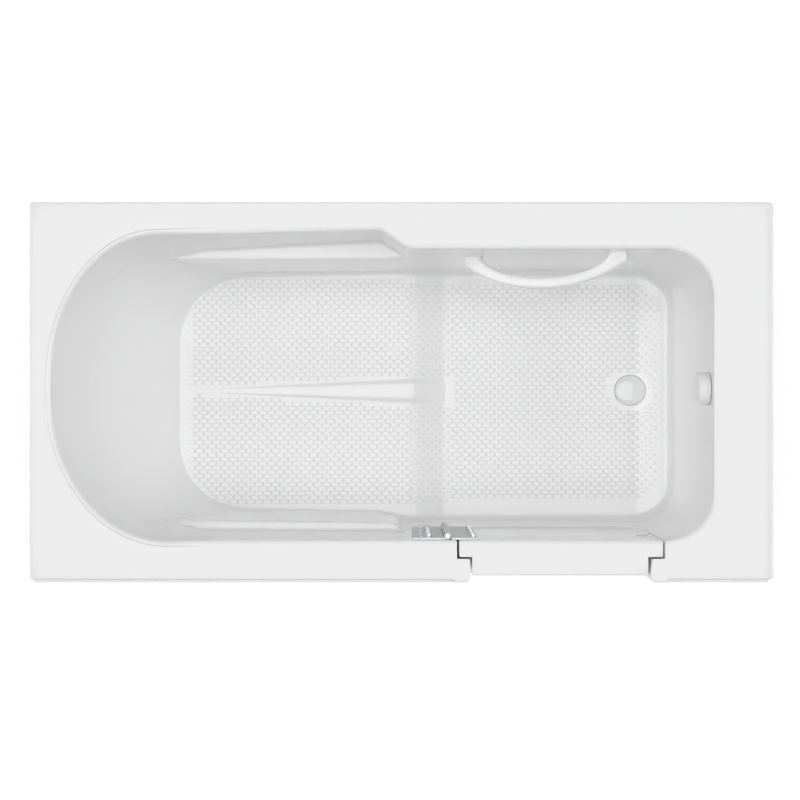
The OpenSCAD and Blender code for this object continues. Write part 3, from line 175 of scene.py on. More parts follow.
# ---- Materials ---------------------------------------------------------------------------------
def finish(name, colour, other, rough, metal=0.0, scale=40.0, stretch=(1, 1, 1), bump=0.02,
           bump_scale=100.0, coat=0.0, wear=0.0, wear_colour=(1, 1, 1), spots=False,
           distance=0.001):
    """A node finish on Object coordinates: two shades mixed by noise, a roughness that follows a
    second noise, and fine relief. spots takes cells in place of noise for the shades, and wear
    rubs patches of a third colour into them."""
    mat = bpy.data.materials.new(name)
    mat.use_nodes = True
    nodes, links = mat.node_tree.nodes, mat.node_tree.links
    shader = nodes["Principled BSDF"]
    shader.inputs["Metallic"].default_value = metal
    shader.inputs["Coat Weight"].default_value = coat
    shader.inputs["Coat Roughness"].default_value = 0.04
    shader.inputs["IOR"].default_value = 1.49
    coords = nodes.new("ShaderNodeTexCoord").outputs["Object"]
    mapping = nodes.new("ShaderNodeMapping")
    mapping.inputs["Scale"].default_value = stretch
    links.new(coords, mapping.inputs["Vector"])
    place = mapping.outputs["Vector"]

    def noise(vector, size, detail):
        node = nodes.new("ShaderNodeTexNoise")
        node.inputs["Scale"].default_value = size
        node.inputs["Detail"].default_value = detail
        links.new(vector, node.inputs["Vector"])
        return node.outputs["Fac"]

    def ranged(value, start, end, low, high):
        node = nodes.new("ShaderNodeMapRange")
        node.inputs["From Min"].default_value = start
        node.inputs["From Max"].default_value = end
        node.inputs["To Min"].default_value = low
        node.inputs["To Max"].default_value = high
        links.new(value, node.inputs["Value"])
        return node.outputs["Result"]

    if spots:
        cells = nodes.new("ShaderNodeTexVoronoi")
        cells.inputs["Scale"].default_value = scale
        links.new(place, cells.inputs["Vector"])
        grain = cells.outputs["Color"]
    else:
        grain = noise(place, scale, 4.0)
    shades = nodes.new("ShaderNodeValToRGB")
    first, last = shades.color_ramp.elements
    first.position, last.position = 0.3, 0.7
    first.color, last.color = (*other, 1), (*colour, 1)
    links.new(grain, shades.inputs["Fac"])
    tint = shades.outputs["Color"]
    if wear:
        blend = nodes.new("ShaderNodeMix")
        blend.data_type = "RGBA"
        blend.inputs["B"].default_value = (*wear_colour, 1)
        rub = ranged(noise(coords, 9.0, 8.0), 0.56, 0.72, 0.0, wear)
        links.new(rub, blend.inputs["Factor"])
        links.new(tint, blend.inputs["A"])
        tint = blend.outputs["Result"]
    links.new(tint, shader.inputs["Base Color"])
    dull = ranged(noise(place, scale * 0.35, 3.0), 0.3, 0.7, *rough)
    links.new(dull, shader.inputs["Roughness"])
    lift = nodes.new("ShaderNodeBump")
    lift.inputs["Strength"].default_value = bump
    lift.inputs["Distance"].default_value = distance
    links.new(noise(place, bump_scale, 3.0), lift.inputs["Height"])
    links.new(lift.outputs["Normal"], shader.inputs["Normal"])
    return mat


acrylic = finish("gloss white acrylic", (0.966, 0.968, 0.967), (0.960, 0.963, 0.962),
                 (0.11, 0.17), scale=5.0, bump=0.05, bump_scale=38.0, coat=0.25,
                 distance=0.0012)
tread = finish("moulded anti-slip relief", (0.972, 0.974, 0.973), (0.966, 0.969, 0.968),
               (0.12, 0.19), scale=9.0, bump=0.04, bump_scale=260.0, coat=0.25)
# Darker than the treads, to paint the shade that falls in the gaps between them
painted_shade_between_treads = finish("satin acrylic with painted shade between the treads", (0.840, 0.843, 0.842),
                       (0.815, 0.819, 0.818), (0.34, 0.44), scale=70.0, bump=0.30,
                       bump_scale=420.0)
laminate = finish("glass-fibre backing", (0.63, 0.64, 0.57), (0.46, 0.48, 0.40), (0.45, 0.75),
                  scale=90.0, stretch=(1, 2.5, 1), bump=0.55, bump_scale=160.0, wear=0.5,
                  wear_colour=(0.70, 0.70, 0.66))
trim_white = finish("white moulded trim", (0.970, 0.972, 0.970), (0.960, 0.963, 0.962),
                    (0.14, 0.20), scale=30.0, bump=0.04, bump_scale=150.0)
# A greyer copy of the white trim: painted shade for the drain cap's sloped bevel
painted_shade_trim = finish("white trim with painted shade", (0.860, 0.862, 0.865), (0.835, 0.838, 0.842),
                   (0.20, 0.28), scale=30.0, bump=0.04, bump_scale=150.0)
chrome = finish("polished chrome", (0.80, 0.81, 0.82), (0.74, 0.75, 0.77), (0.05, 0.12), 1.0,
                scale=60.0, bump=0.015, bump_scale=200.0)
satin_steel = finish("satin stainless steel", (0.46, 0.465, 0.47), (0.39, 0.395, 0.40),
                     (0.30, 0.40), 1.0, scale=160.0, stretch=(0.05, 1, 1), bump=0.10,
                     bump_scale=300.0)
steel = finish("zinc-plated steel", (0.58, 0.59, 0.60), (0.50, 0.51, 0.53), (0.28, 0.44), 1.0,
               scale=110.0, bump=0.08, bump_scale=90.0, spots=True)
rubber = finish("black rubber", (0.028, 0.028, 0.03), (0.018, 0.018, 0.019), (0.5, 0.7),
                scale=90.0, bump=0.2, bump_scale=400.0)
pipe_grey = finish("grey pipe plastic", (0.36, 0.37, 0.38), (0.32, 0.33, 0.34), (0.3, 0.42),
                   scale=40.0, bump=0.05, bump_scale=180.0)
sheath = finish("cable jacket", (0.05, 0.05, 0.055), (0.035, 0.035, 0.04), (0.35, 0.5),
                scale=80.0, bump=0.15, bump_scale=300.0)
plywood = finish("birch plywood", (0.60, 0.44, 0.27), (0.44, 0.30, 0.17), (0.5, 0.7), scale=9.0,
                 stretch=(1.2, 14, 30), bump=0.25, bump_scale=30.0, wear=0.5,
                 wear_colour=(0.36, 0.23, 0.12))


# ---- Basin -------------------------------------------------------------------------------------
# A level is one closed outline of the basin at a height z, or at z above the floor where follow
# is set. Its left end is an arc from x = xl, whose two halves end at x = c and stand 2 * half
# apart at the tip. y holds the back and the front side's four stations, notch the two x of the
# armrest's end on each side, and xr and rr are the right side and the radius of its corners.
def level(z, follow, xl, c_back, c_front, half, y_back, y_front, xr, rr,
          notch_back=(-44.0, 11.0), notch_front=(-10.0, 1.0)):
    return dict(z=z, follow=follow, xl=xl, c=(c_back, c_front), half=half, y=(y_back, y_front),
                xr=xr, rr=rr, notch=(notch_back, notch_front))


def grown(v, e, z):
    """The same outline moved outwards by e, at another height."""
    return dict(v, z=z, xl=v["xl"] - e, xr=v["xr"] + e, rr=v["rr"] + e,
                y=([y + e for y in v["y"][0]], [y - e for y in v["y"][1]]))


LOW = (-44.0, 11.0)     # near the floor both sides have the back one's notch
open_level = level(DECK - EDGE, False, IN_L, TIP_X, TIP_X + 20, 12,
                   [IN_B + 27, IN_B + 29, IN_B + 39, IN_B], [IN_F] * 4, IN_R, 100)
arm_out = level(ARM, False, IN_L + 77, TIP_X, TIP_X, 50,
                [IN_B - 5, IN_B + 14, IN_B + 34, IN_B - 2.06],
                [IN_F + 26, IN_F + 5, IN_F + 4, IN_F], IN_R - 2.84, 95.9)
arm_in = level(ARM - 2, False, IN_L + 78, TIP_X, TIP_X, 50,
               [IN_B - 6, IN_B - 6, IN_B - 4, IN_B - 2.09],
               [IN_F + 26, IN_F + 26, IN_F + 22, IN_F], IN_R - 2.87, 95.8)
sill_level = level(SILL - 4, False, IN_L + 139, TIP_X + 60, TIP_X + 60, 85,
                   [IN_B - 12, IN_B - 11, IN_B - 9, IN_B - 4],
                   [IN_F + 30, IN_F + 29, IN_F + 24, IN_F], IN_R - 5.5, 92)
low_level = level(28, True, IN_L + 180, TIP_X + 125, TIP_X + 125, 108,
                  [IN_B - 15, IN_B - 13, IN_B - 11, IN_B - 6],
                  [IN_F + 31, IN_F + 30, IN_F + 25, IN_F + 3], 634, 88, LOW, LOW)
cove_level = level(0, True, IN_L + 198, TIP_X + 132, TIP_X + 132, 112,
                   [IN_B - 30, IN_B - 26, IN_B - 17, IN_B - 23],
                   [IN_F + 36, IN_F + 34, IN_F + 30, IN_F + 20], END_X, 68, LOW, LOW)
deck_level = level(DECK, False, -X_END, -X_END + 8, -X_END + 8, 380, [Y_BACK] * 4, [Y_LIP] * 4,
                   X_END, 8)

# Columns of the basin's mesh: intervals along the backrest's arc, from it to the columns that
# all levels share, round a corner, and along either end
ARC, NEAR, CORNER_N, SIDE_N = 34, 40, 22, 42
COMMON_X = np.concatenate([
    np.arange(-44, 40, 3.0), np.arange(40, 92, 6.5), np.arange(92, 124, 4.0),
    np.linspace(124, 534, 25)[:-1], [534, 538, 542, 546]])
COLS = ARC + NEAR + len(COMMON_X) - 1 + CORNER_N    # intervals along a long side
RING = 2 * (COLS + 1) + 2 * (SIDE_N - 1)            # points of a closed ring


def floor_height(x, drop=0.0):
    """Height of the floor at x, with its breaks rounded: the mean of the sharp line over 9 mm
    to either side."""
    line_x = [-9e3, SEAT_X, FOOT_X, RAMP_X, END_X, 9e3]
    line_z = [SEAT, SEAT, FLOOR, FLOOR, FLOOR + RAMP_H, FLOOR + RAMP_H]
    spread = np.linspace(-9, 9, 13).reshape((-1,) + (1,) * np.ndim(x))
    return np.interp(np.asarray(x)[None] + spread, line_x, line_z).mean(0) - drop


def side_points(v, side):
    """Plan of one long side of a level: its arc, its stations and its corner, as (n, 2).

    The line through the stations is the mean of the broken line over a reach that grows from
    nothing at the arc, so it stays tangent there."""
    sign = 1 if side == 0 else -1
    c, notch, ys, last = v["c"][side], v["notch"][side], v["y"][side], v["xr"] - v["rr"]
    middle = (v["y"][0][0] + v["y"][1][0]) / 2
    start = middle + sign * v["half"]
    a = np.linspace(0, np.pi / 2, ARC + 1)
    arc = np.stack([c - (c - v["xl"]) * np.cos(a), start + (ys[0] - start) * np.sin(a)], -1)
    x = np.concatenate([c + (COMMON_X[0] - c) * np.linspace(0, 1, NEAR + 1), COMMON_X[1:]])
    mix = lambda p, q, t: p + (q - p) * t
    line_x = [c, mix(c, notch[0], 0.15), mix(c, notch[0], 0.44), mix(c, notch[0], 0.77),
              notch[0], notch[1], 9e3]
    line_y = [ys[0], ys[1], mix(ys[1], ys[2], 0.34), mix(ys[1], ys[2], 0.73), ys[2], ys[3], ys[3]]
    reach = np.clip((x - c) * 0.8, 0, 11.0)
    spread = np.linspace(-1, 1, 11)[:, None]
    weight = 1.02 - np.abs(spread)
    y = (np.interp(x + spread * reach, line_x, line_y) * weight).sum(0) / weight.sum()
    over = np.clip(x - last, 0, None)
    y = y - sign * (v["rr"] - np.sqrt(np.clip(v["rr"] ** 2 - over ** 2, 0, None)))
    if v["rr"] < 20:
        w = np.linspace(0, 1, CORNER_N + 1)[1:]
        b = np.clip((w - 0.6) / 0.4, 0, 1) * np.pi / 2
        cx = np.where(w < 0.6, mix(COMMON_X[-1], last, w / 0.6), last + v["rr"] * np.sin(b))
        cy = ys[3] - sign * v["rr"] * (1 - np.cos(b))
    else:
        b0 = np.arccos(np.clip((COMMON_X[-1] - last) / v["rr"], -1, 1))
        b = np.linspace(b0, 0, CORNER_N + 1)[1:]
        cx = last + v["rr"] * np.cos(b)
        cy = ys[3] - sign * v["rr"] * (1 - np.sin(b))
    return np.concatenate([arc, np.stack([x, y], -1)[1:], np.stack([cx, cy], -1)])


def level_ring(v, roll=0.0):
    """The closed ring of a level, clockwise from above from the back of the backrest's edge."""
    back, front = side_points(v, 0), side_points(v, 1)
    t = np.linspace(0, 1, SIDE_N + 1)[1:-1, None]
    right = back[-1] + (front[-1] - back[-1]) * t
    left = front[0] + (back[0] - front[0]) * t
    plan = np.concatenate([back, right, front[::-1], left])
    z = floor_height(plan[:, 0]) + v["z"] if v["follow"] else np.full(len(plan), v["z"])
    z = z + roll * np.clip((TIP_X + 110 - plan[:, 0]) / 90, 0, 1)
    return np.concatenate([plan, z[:, None]], 1)


def rounded_stack(levels, radii):
    """Rows of points down a wall through its levels, each corner between levels replaced by a
    parabola that starts and ends at a given distance from it. radii may differ along a ring. The
    last corner is the cove, whose parabola runs on to the last level."""
    rows = [levels[0][None]]
    for i in range(1, len(levels) - 1):
        p, before, after = levels[i], levels[i - 1] - levels[i], levels[i + 1] - levels[i]
        lb = np.linalg.norm(before, axis=1)[:, None] + 1e-9
        la = np.linalg.norm(after, axis=1)[:, None] + 1e-9
        above = np.minimum(np.reshape(radii[i], (-1, 1)), 0.47 * lb)
        near = np.minimum(above, 0.47 * la)
        cove = i == len(levels) - 2
        t = np.linspace(0, 1, 10 if cove else 6)[:, None, None]
        s = p + before / lb * (above if cove else near)
        e = p + after / la * (0.985 * la if cove else near)
        rows.append((1 - t) ** 2 * s + 2 * t * (1 - t) * p + t ** 2 * e)
    rows.append(levels[-1][None])
    return np.concatenate(rows)


def wedge_part(x):
    """How far the wedge has grown at x: from its tip to the end of the seat, and back down the
    ramp."""
    return np.where(x < SEAT_X, np.clip((x - WEDGE_X) / (SEAT_X - WEDGE_X), 0, 1),
                    np.clip((FOOT_X - x) / (FOOT_X - SEAT_X), 0, 1))


def wedge_half(x, w):
    """Half the wedge's width at x, where w is its full width at the end of the seat."""
    return 2 + (w / 2 - 2) * np.where(x < SEAT_X, wedge_part(x), 1.0)


def floor_grid(ring):
    """The floor between the two long sides of its outline: columns run along the tub, rows cross
    it and gather at the wedge, whose sides rise by a smooth step."""
    back = ring[:COLS + 1]
    front = ring[COLS + SIDE_N:2 * COLS + SIDE_N + 1][::-1]
    x = back[:, 0]
    foot, top = wedge_half(x, WEDGE_FOOT) + 1, wedge_half(x, WEDGE_TOP)
    n1, n2, n3 = 13, 6, 4   # intervals on either side of the wedge, up its flank and on its top
    yb, yf = back[:, 1], front[:, 1]
    lines = [yb + (WEDGE_Y + foot - yb) * t for t in np.linspace(0, 1, n1 + 1)[:-1]]
    lines += [WEDGE_Y + foot + (top - foot) * t for t in np.linspace(0, 1, n2 + 1)[:-1]]
    lines += [WEDGE_Y + top - 2 * top * t for t in np.linspace(0, 1, n3 + 1)[:-1]]
    lines += [WEDGE_Y - top + (top - foot) * t for t in np.linspace(0, 1, n2 + 1)[:-1]]
    lines += [WEDGE_Y - foot + (yf - WEDGE_Y + foot) * t for t in np.linspace(0, 1, n1 + 1)]
    y = np.stack(lines)
    up = np.concatenate([np.zeros(n1), np.linspace(0, 1, n2 + 1)[:-1], np.ones(n3 + 1),
                         np.linspace(1, 0, n2 + 1)[1:], np.zeros(n1)])[:, None]
    up = up * up * (3 - 2 * up)
    z = floor_height(x)[None, :] + up * WEDGE_H * wedge_part(x)[None, :]
    x = np.broadcast_to(x, y.shape)
    return np.stack([x, y, z], -1)


def drain_patch(border):
    """The floor round the drain and its stepped recess: the border of the hole in the grid is
    drawn in to a circle, and the circle is carried down the recess and the hole in it."""
    rel = border[:, :2] - np.array(DRAIN)
    angle = np.arctan2(rel[:, 1], rel[:, 0])
    unit = np.stack([np.cos(angle), np.sin(angle)], -1)
    circle = lambda r: np.array(DRAIN) + unit * r
    rows = [border]
    for t in np.linspace(0, 1, 6)[1:]:
        plan = border[:, :2] * (1 - t) + circle(38.0) * t
        rows.append(np.column_stack([plan, floor_height(plan[:, 0])]))
    for r, down in ((37.1, 0.25), (36.3, 0.9), (36.0, 2.0)):
        rows.append(np.column_stack([circle(r), floor_height(circle(r)[:, 0], down)]))
    for r, z in ((36.0, 81.3), (35.2, 80.5), (26.0, 80.5), (25.0, 79.6), (25.0, 75.0)):
        rows.append(np.column_stack([circle(r), np.full(len(unit), z)]))
    return np.stack(rows)


def basin_surface():
    """Rows from the foot of the lip over the deck and the rolled edge, down the walls and round
    the cove, and the floor grid that closes them. The wall and deck between the window's columns
    are left to the door frame."""
    flare = [level_ring(grown(deck_level, 0, z)) for z in (DECK - LIP, DECK - 4)]
    for s in np.linspace(0, 1, 5)[1:]:
        e = 4 * (1 - math.cos(s * math.pi / 2))
        flare.append(level_ring(grown(deck_level, -e, DECK - 4 + 4 * math.sin(s * math.pi / 2))))
    inner = level_ring(grown(open_level, 15, DECK))
    outer = flare[-1]
    deck = [outer + (inner - outer) * t for t in (0.25, 0.6, 0.9)]
    bead = [inner]
    for e, part in ((13.2, 0.0), (12.6, 0.12), (11.8, 0.5), (11.0, 0.86), (10.0, 0.99)):
        bead.append(level_ring(grown(open_level, e, DECK), ROLL * part))
    for s in np.linspace(0, 1, 9):
        e = EDGE - BOW * math.sin(s * CREST)
        bead.append(level_ring(grown(open_level, e, DECK - BOW * (1 - math.cos(s * CREST))),
                               ROLL * math.cos(s * math.pi / 2) ** 0.7 if s < 1 else 0.0))
    ring_low = level_ring(low_level)
    ring_sill = level_ring(sill_level)
    slope = (ring_low - ring_sill) / (ring_sill[:, 2] - ring_low[:, 2])[:, None]
    corner = ring_low + slope * low_level["z"]
    corner[:, 2] = floor_height(corner[:, 0])
    ring_cove = level_ring(cove_level)
    floor = floor_grid(ring_cove)
    # How far a column belongs to the backrest: 1 at its middle, 0 from the end of its arc on
    arc_part = np.clip(1 - np.arange(COLS + 1) / ARC, 0, 1) ** 0.5
    rest = np.zeros(RING)
    rest[:COLS + 1] = arc_part
    rest[COLS + SIDE_N:2 * COLS + SIDE_N + 1] = arc_part[::-1]
    rest[2 * COLS + SIDE_N + 1:] = 1
    backrest = lambda low, high: low + (high - low) * rest
    # At the backrest the two levels of the armrests part, up and down the wall from their middle
    ring_out, ring_in = level_ring(arm_out), level_ring(arm_in)
    between = (ring_out + ring_in) / 2
    towards = lambda other: (other - between) / np.linalg.norm(other - between, axis=1)[:, None]
    apart = 45 * rest[:, None] ** 1.4
    wide = apart > 1.0
    ring_out = np.where(wide, between + towards(bead[-1]) * apart, ring_out)
    ring_in = np.where(wide, between + towards(ring_sill) * apart, ring_in)
    stack = rounded_stack(
        [bead[-1], ring_out, ring_in, ring_sill, corner, ring_cove],
        [0, backrest(7, 60), backrest(6, 60), backrest(14, 70), backrest(34, 45), 0])
    # On the backrest the wall is one smooth curve through the edge, the sill's level and the foot
    edge, foot = bead[-1], ring_low
    z = stack[1:, :, 2]
    ze, zs, zf = edge[:, 2], ring_sill[:, 2], foot[:, 2]
    curve = ((z - zs) * (z - zf) / ((ze - zs) * (ze - zf)))[..., None] * edge
    curve += ((z - ze) * (z - zf) / ((zs - ze) * (zs - zf)))[..., None] * ring_sill
    curve += ((z - ze) * (z - zs) / ((zf - ze) * (zf - zs)))[..., None] * foot
    curve[..., 2] = z
    easy = np.clip(rest * 1.25, 0, 1)
    share = (easy * easy * (3 - 2 * easy))[None] * np.clip((z - zf - 2) / 25, 0, 1)
    stack[1:] += (curve - stack[1:]) * share[..., None]
    rows = np.concatenate([np.stack(flare + deck + bead), stack[1:]])
    return rows, floor


def build_basin():
    """The basin's rows, its floor grid and the patch round the drain, with the door frame's
    window left open."""
    rows, floor = basin_surface()
    n = len(rows)
    # The last two rows are one where the cove ends at the floor's border
    short = np.linalg.norm(rows[-2] - rows[-1], axis=1) < 0.6
    rows[-2] = np.where(short[:, None], rows[-1], rows[-2])
    # Window of the door frame: the front side's columns between its two limits, above the sill.
    # The front side runs backwards round the ring
    front = COLS + SIDE_N + COLS
    first = front - (ARC + NEAR + len(COMMON_X) - 1)
    last = front - (ARC + NEAR + int(np.argmin(np.abs(COMMON_X - WINDOW[0]))))
    z = rows[:, first, 2]
    bottom = np.where(z[:-1] + z[1:] > 2 * (SILL - 4) - 1)[0].max() + 1
    rows[bottom, first:last + 1, 2] = SILL - 4
    r = np.arange(n - 1)[:, None]
    c = np.arange(RING)[None, :]
    d = (c + 1) % RING
    stay = ~((r < bottom) & (c >= first) & (c < last))
    quads = np.stack([r * RING + c, (r + 1) * RING + c, (r + 1) * RING + d, r * RING + d], -1)
    faces = quads[stay].tolist()
    # Floor grid, its border drawn onto the last row. A place of about 90 mm is left out of it
    # for the drain's patch: columns k0 to k1 and rows j0 to j1
    fr, fc = floor.shape[:2]
    rim = np.ones((fr, fc), bool)
    rim[1:-1, 1:-1] = False
    apart = np.linalg.norm(floor[rim][:, None] - rows[-1][None], axis=2)
    floor[rim] = np.where(apart.min(1)[:, None] < 0.8, rows[-1][apart.argmin(1)], floor[rim])
    base = n * RING
    k0 = int(np.argmin(np.abs(floor[0, :, 0] - (DRAIN[0] - 47))))
    k1 = int(np.argmin(np.abs(floor[0, :, 0] - (DRAIN[0] + 45))))
    y_line = floor[:, (k0 + k1) // 2, 1]
    j0 = int(np.where(y_line > DRAIN[1] + 44)[0].max())
    j1 = int(np.where(y_line < DRAIN[1] - 44)[0].min())
    gr = np.arange(fr - 1)[:, None]
    gc = np.arange(fc - 1)[None, :]
    stay = ~((gr >= j0) & (gr < j1) & (gc >= k0) & (gc < k1))
    a = base + gr * fc + gc
    faces += np.stack([a, a + fc, a + fc + 1, a + 1], -1)[stay].tolist()
    border = np.concatenate([floor[j0, k0:k1], floor[j0:j1, k1], floor[j1, k1:k0:-1],
                             floor[j1:j0:-1, k0]])
    patch = drain_patch(border)
    faces += grid_faces(len(patch), len(border), True, base + fr * fc, True)
    points = np.concatenate([part.reshape(-1, 3) for part in (rows, floor, patch)])
    thickened(piece_from("basin", points, faces, [acrylic, laminate], "tub", ("tub_shell",),
                         "acrylic", smooth=40), BASIN_WALL)


# ---- Anti-slip relief --------------------------------------------------------------------------
def build_treads():
    """Blunt lozenges of eight sides on a staggered lattice, each of three rings whose height is
    added to the floor's own, and thin tiles of darker satin acrylic, one between each lozenge and
    the next one of its row, that paint the shade of the gaps."""
    pitch = 19.86
    slope_from, slope_to = SEAT_X - 4, FOOT_X - 2
    i, j = np.meshgrid(np.arange(-40, 41), np.arange(-60, 61), indexing="ij")
    x = i * pitch + (j % 2) * pitch / 2 + 3.0
    y = j * pitch / 2 + 4.5

    def in_round_box(x0, x1, y0, y1, r):
        dx = np.maximum(np.abs(x - (x0 + x1) / 2) - (x1 - x0) / 2 + r, 0)
        dy = np.maximum(np.abs(y - (y0 + y1) / 2) - (y1 - y0) / 2 + r, 0)
        return (x > x0) & (x < x1) & (y > y0) & (y < y1) & (np.hypot(dx, dy) <= r)

    # The fields that carry the relief: the seat, the slope and the footwell with its ramp
    seat = in_round_box(-502, 121, -257, 266, 97) & (x < slope_from)
    slope = (x > slope_from) & (x < slope_to) & (y > -254) & (y < 261)
    well = in_round_box(6, 610, -252, 257, 58) & (x > slope_to)
    clear = np.abs(y - WEDGE_Y) > wedge_half(x, WEDGE_FOOT) + 8
    clear |= (x > FOOT_X + 14) | (x < WEDGE_X - 14)
    off_drain = np.hypot(x - DRAIN[0], y - DRAIN[1]) > 47
    take = (seat | slope | well) & clear & off_drain
    joined = np.zeros(take.shape, bool)
    joined[:-1] = take[1:]
    ahead = joined[take]
    x, y = x[take][:, None, None], y[take][:, None, None]
    # The relief is finer on the two slopes
    faint = ((x > slope_from) & (x < slope_to)) | (x > RAMP_X + 4)
    corner = np.array([(1, 0.5), (0.76, 1), (-0.76, 1), (-1, 0.5), (-1, -0.5), (-0.76, -1),
                       (0.76, -1), (1, -0.5)])
    size = np.array([[7.7, 4.95], [7.1, 4.5], [6.2, 3.8]])[None, :, None, :]
    high = np.array([-0.5, 0.8, 1.3])[None, :, None]
    shrink = np.where(faint, 0.84, 1.0)
    px = x + corner[None, None, :, 0] * size[..., 0] * shrink
    py = y + corner[None, None, :, 1] * size[..., 1] * shrink
    pz = floor_height(px) + high * np.where(faint, 0.75, 1.0)
    points = np.stack([px, py, pz], -1)
    n, k = len(points), len(corner)
    start = (np.arange(n) * 3 * k)[:, None]
    around = np.arange(k)[None]
    following = (around + 1) % k
    faces = []
    for ring in (0, k):
        faces += np.stack([start + ring + around, start + ring + following,
                           start + ring + k + following, start + ring + k + around],
                          -1).reshape(-1, 4).tolist()
    faces += (start + 2 * k + around).tolist()
    faces += (start + around)[:, ::-1].tolist()
    piece_from("anti_slip_relief", points.reshape(-1, 3), faces, tread, "tub", (), "acrylic",
               smooth=25)
    # The tiles have three columns of points each, so that they follow the floor's breaks
    x, y, faint, n = x[ahead], y[ahead], faint[ahead], int(ahead.sum())
    across = np.array([-1, 0, 1, 1, 0, -1])[None, None, :]
    along = np.array([-1, -1, -1, 1, 1, 1])[None, None, :]
    gx = x + pitch / 2 + across * np.where(faint, 3.0, 4.4)
    gy = y + along * np.where(faint, 2.6, 4.9)
    gz = floor_height(gx) + np.array([-0.4, 0.22])[None, :, None]
    both = np.ones((1, 2, 1))
    points = np.stack([gx * both, gy * both, gz], -1)
    start = (np.arange(n) * 12)[:, None, None]
    tile = np.array([(6, 7, 10, 11), (7, 8, 9, 10), (5, 4, 1, 0), (4, 3, 2, 1), (0, 1, 7, 6),
                     (1, 2, 8, 7), (2, 3, 9, 8), (3, 4, 10, 9), (4, 5, 11, 10), (5, 0, 6, 11)])
    # Tiles of painted shade: darker acrylic laid in the gaps between the lozenges
    piece_from("anti_slip_painted_shade", points.reshape(-1, 3),
               (start + tile[None]).reshape(-1, 4).tolist(), painted_shade_between_treads, "tub", (), "acrylic",
               smooth=25)


# ---- Door frame and door -----------------------------------------------------------------------
def opening_path(x0, x1, z0, r, top, flare):
    """Points (x, z) down one side of an opening, round its corners and up the other side. The
    arguments are arrays of one value a row; flare rounds the two upper ends outwards."""
    col = lambda v: np.asarray(v, float)[:, None]
    x0, x1, z0, r, top, flare = map(col, (x0, x1, z0, r, top, flare))
    s = np.linspace(0, np.pi / 2, 5)[None]
    t = np.linspace(0, 1, 9)[None, 1:-1]
    q = np.linspace(0, np.pi / 2, 25)[None]
    one = np.ones_like(t)
    left = [(x0 - flare * (1 - np.sin(s)), top - flare * (1 - np.cos(s))),
            (x0 * one, top - flare + (z0 + r - top + flare) * t),
            (x0 + r * (1 - np.cos(q)), z0 + r * (1 - np.sin(q)))]
    floor_line = (x0 + r + (x1 - x0 - 2 * r) * t, z0 * one)
    right = [(x1 - r * (1 - np.cos(q[:, ::-1])), z0 + r * (1 - np.sin(q[:, ::-1]))),
             (x1 * one, z0 + r + (top - flare - z0 - r) * t),
             (x1 + flare * (1 - np.sin(s[:, ::-1])), top - flare * (1 - np.cos(s[:, ::-1])))]
    parts = left + [floor_line] + right
    return (np.concatenate([p[0] for p in parts], 1), np.concatenate([p[1] for p in parts], 1))


def deck_top(y):
    """Height of the frame's upper edge at y: level, rounded down to the basin and to the front."""
    inner = np.clip(y - (IN_F - EDGE), 0, EDGE)
    outer = np.clip((-385.6 - y) / 4.0, 0, 1)
    return DECK - BOW + np.sqrt(BOW ** 2 - inner ** 2) - 4.0 * (1 - np.sqrt(1 - outer ** 2))


